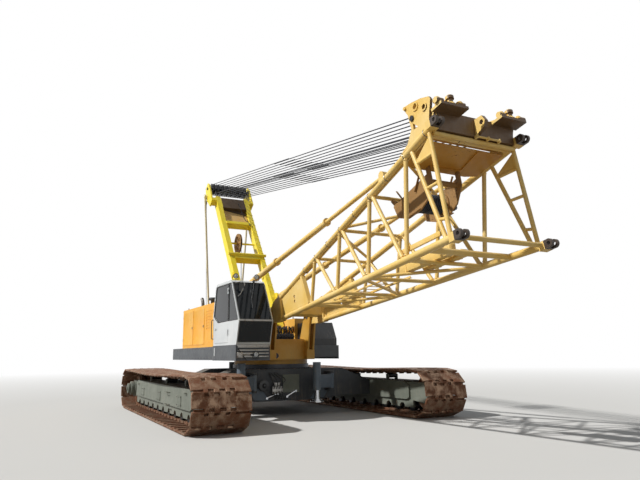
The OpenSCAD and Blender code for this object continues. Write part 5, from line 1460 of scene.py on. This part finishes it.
# %% [markdown]
# The bumper under the cab is a row of bright metal strips over a dark recess, battered at its outer end,
# where a bent bracket and a strap stick out. One round lamp sits in its middle.

# %% Bumper under the cab
BUMPER_X, BAR_Z = 3.10, 1.905
bumper = []
for z in (1.84, 1.93, 2.02, 2.11):
    strip = box_piece("strip", (BUMPER_X - 0.004, -2.30, z + 0.003), (BUMPER_X + 0.007, -1.36, z + 0.042))
    press(strip, "+X", 0.010, (0.004, 0, 0))
    bumper.append(soften(strip, 0.002, 1))
bumper.append(soften(box_piece("top", (BUMPER_X - 0.035, -2.33, 2.155), (BUMPER_X + 0.006, -1.33, 2.196)), 0.008))
bracket = box_piece("bracket", (BUMPER_X - 0.006, -2.33, 1.82), (BUMPER_X + 0.022, -2.15, 1.99))
press(bracket, "+X", 0.03, (0.018, 0.01, 0.004))
bar = rod_piece("bar", (BUMPER_X + 0.012, -2.16, BAR_Z), (BUMPER_X + 0.012, -1.93, BAR_Z), 0.020, 12)
assemble("bumper_strips", bumper + [soften(bracket, 0.006), bar], worn_steel, "side_decks")
strap = box_piece("strap", (BUMPER_X + 0.028, -0.016, -0.21), (BUMPER_X + 0.034, 0.016, 0.21))
strap.data.transform(turned((0, -2.18, 1.92), 38, "X"))
fasten(strap, rubber, "side_decks")
print("bumper pieces:", len(bumper) + 3)

# %% [markdown]
# The studio is a pale floor, a white surround and a hard lamp from the machine's right, as the sun stood.
# The floor fades to plain white with distance, and only the camera, mirrors and glass see that white, so it
# puts no extra light on the machine.

# %% Studio
FADE_FROM, FADE_TO, FLOOR_RADIUS = 12.0, 60.0, 240


def seen_directly(tree):
    """1 for rays from the camera, off a mirror or through glass, and 0 for the rays that carry light."""
    path = add(tree, "LightPath", {}).outputs
    return maths(tree, "MAXIMUM", maths(tree, "MAXIMUM", path["Is Camera Ray"], path["Is Glossy Ray"]),
                 path["Is Transmission Ray"])


def make_world():
    world = bpy.data.worlds.new("studio")
    bpy.context.scene.world = world
    world.use_nodes = True
    tree = world.node_tree
    tree.nodes.clear()
    light = add(tree, "Background", {"Color": linear("DDE6F2"), "Strength": 0.22})
    white = add(tree, "Background", {"Color": grey(1), "Strength": 1.0})
    choose = add(tree, "MixShader", {0: seen_directly(tree), 1: light.outputs[0], 2: white.outputs[0]})
    add(tree, "OutputWorld", {"Surface": choose.outputs[0]})


def make_floor():
    floor = start(bpy.ops.mesh.primitive_circle_add, "studio_floor", vertices=64, radius=FLOOR_RADIUS, fill_type="NGON")
    material, tree, shader, place = new_material("studio_floor_paint")
    dress(tree, shader, Base_Color=mix(tree, seen_directly(tree), linear("8C877C"), linear("CBC9C4")), Roughness=0.9)
    distance = add(tree, "VectorMath", {0: place}, operation="LENGTH").outputs["Value"]
    far = add(tree, "MapRange", {"Value": distance, "From Min": FADE_FROM, "From Max": FADE_TO}).outputs[0]
    fade = maths(tree, "MULTIPLY", far, seen_directly(tree))
    white = add(tree, "Emission", {"Color": grey(1), "Strength": 1.0})
    both = add(tree, "MixShader", {0: fade, 1: shader.outputs[0], 2: white.outputs[0]})
    output = [n for n in tree.nodes if n.type == "OUTPUT_MATERIAL"][0]
    plug(tree, output.inputs["Surface"], both.outputs[0])
    floor.data.materials.append(material)


def make_sun(name, direction, strength, spread):
    """A sun lamp that shines along a direction, with the sun's width in degrees."""
    data = bpy.data.lights.new(name, "SUN")
    data.energy = strength
    data.angle = math.radians(spread)
    lamp = bpy.data.objects.new(name, data)
    lamp.rotation_euler = Vector(direction).to_track_quat("-Z", "Y").to_euler()
    bpy.context.scene.collection.objects.link(lamp)


make_world()
make_floor()
make_sun("key_lamp", (0.12, 0.72, -0.68), 4.0, 1.5)
make_sun("fill_lamp", (-0.9, 0.1, -0.3), 0.15, 60)
bpy.context.scene.view_settings.view_transform = "Standard"
print("studio ready")

# %% [markdown]
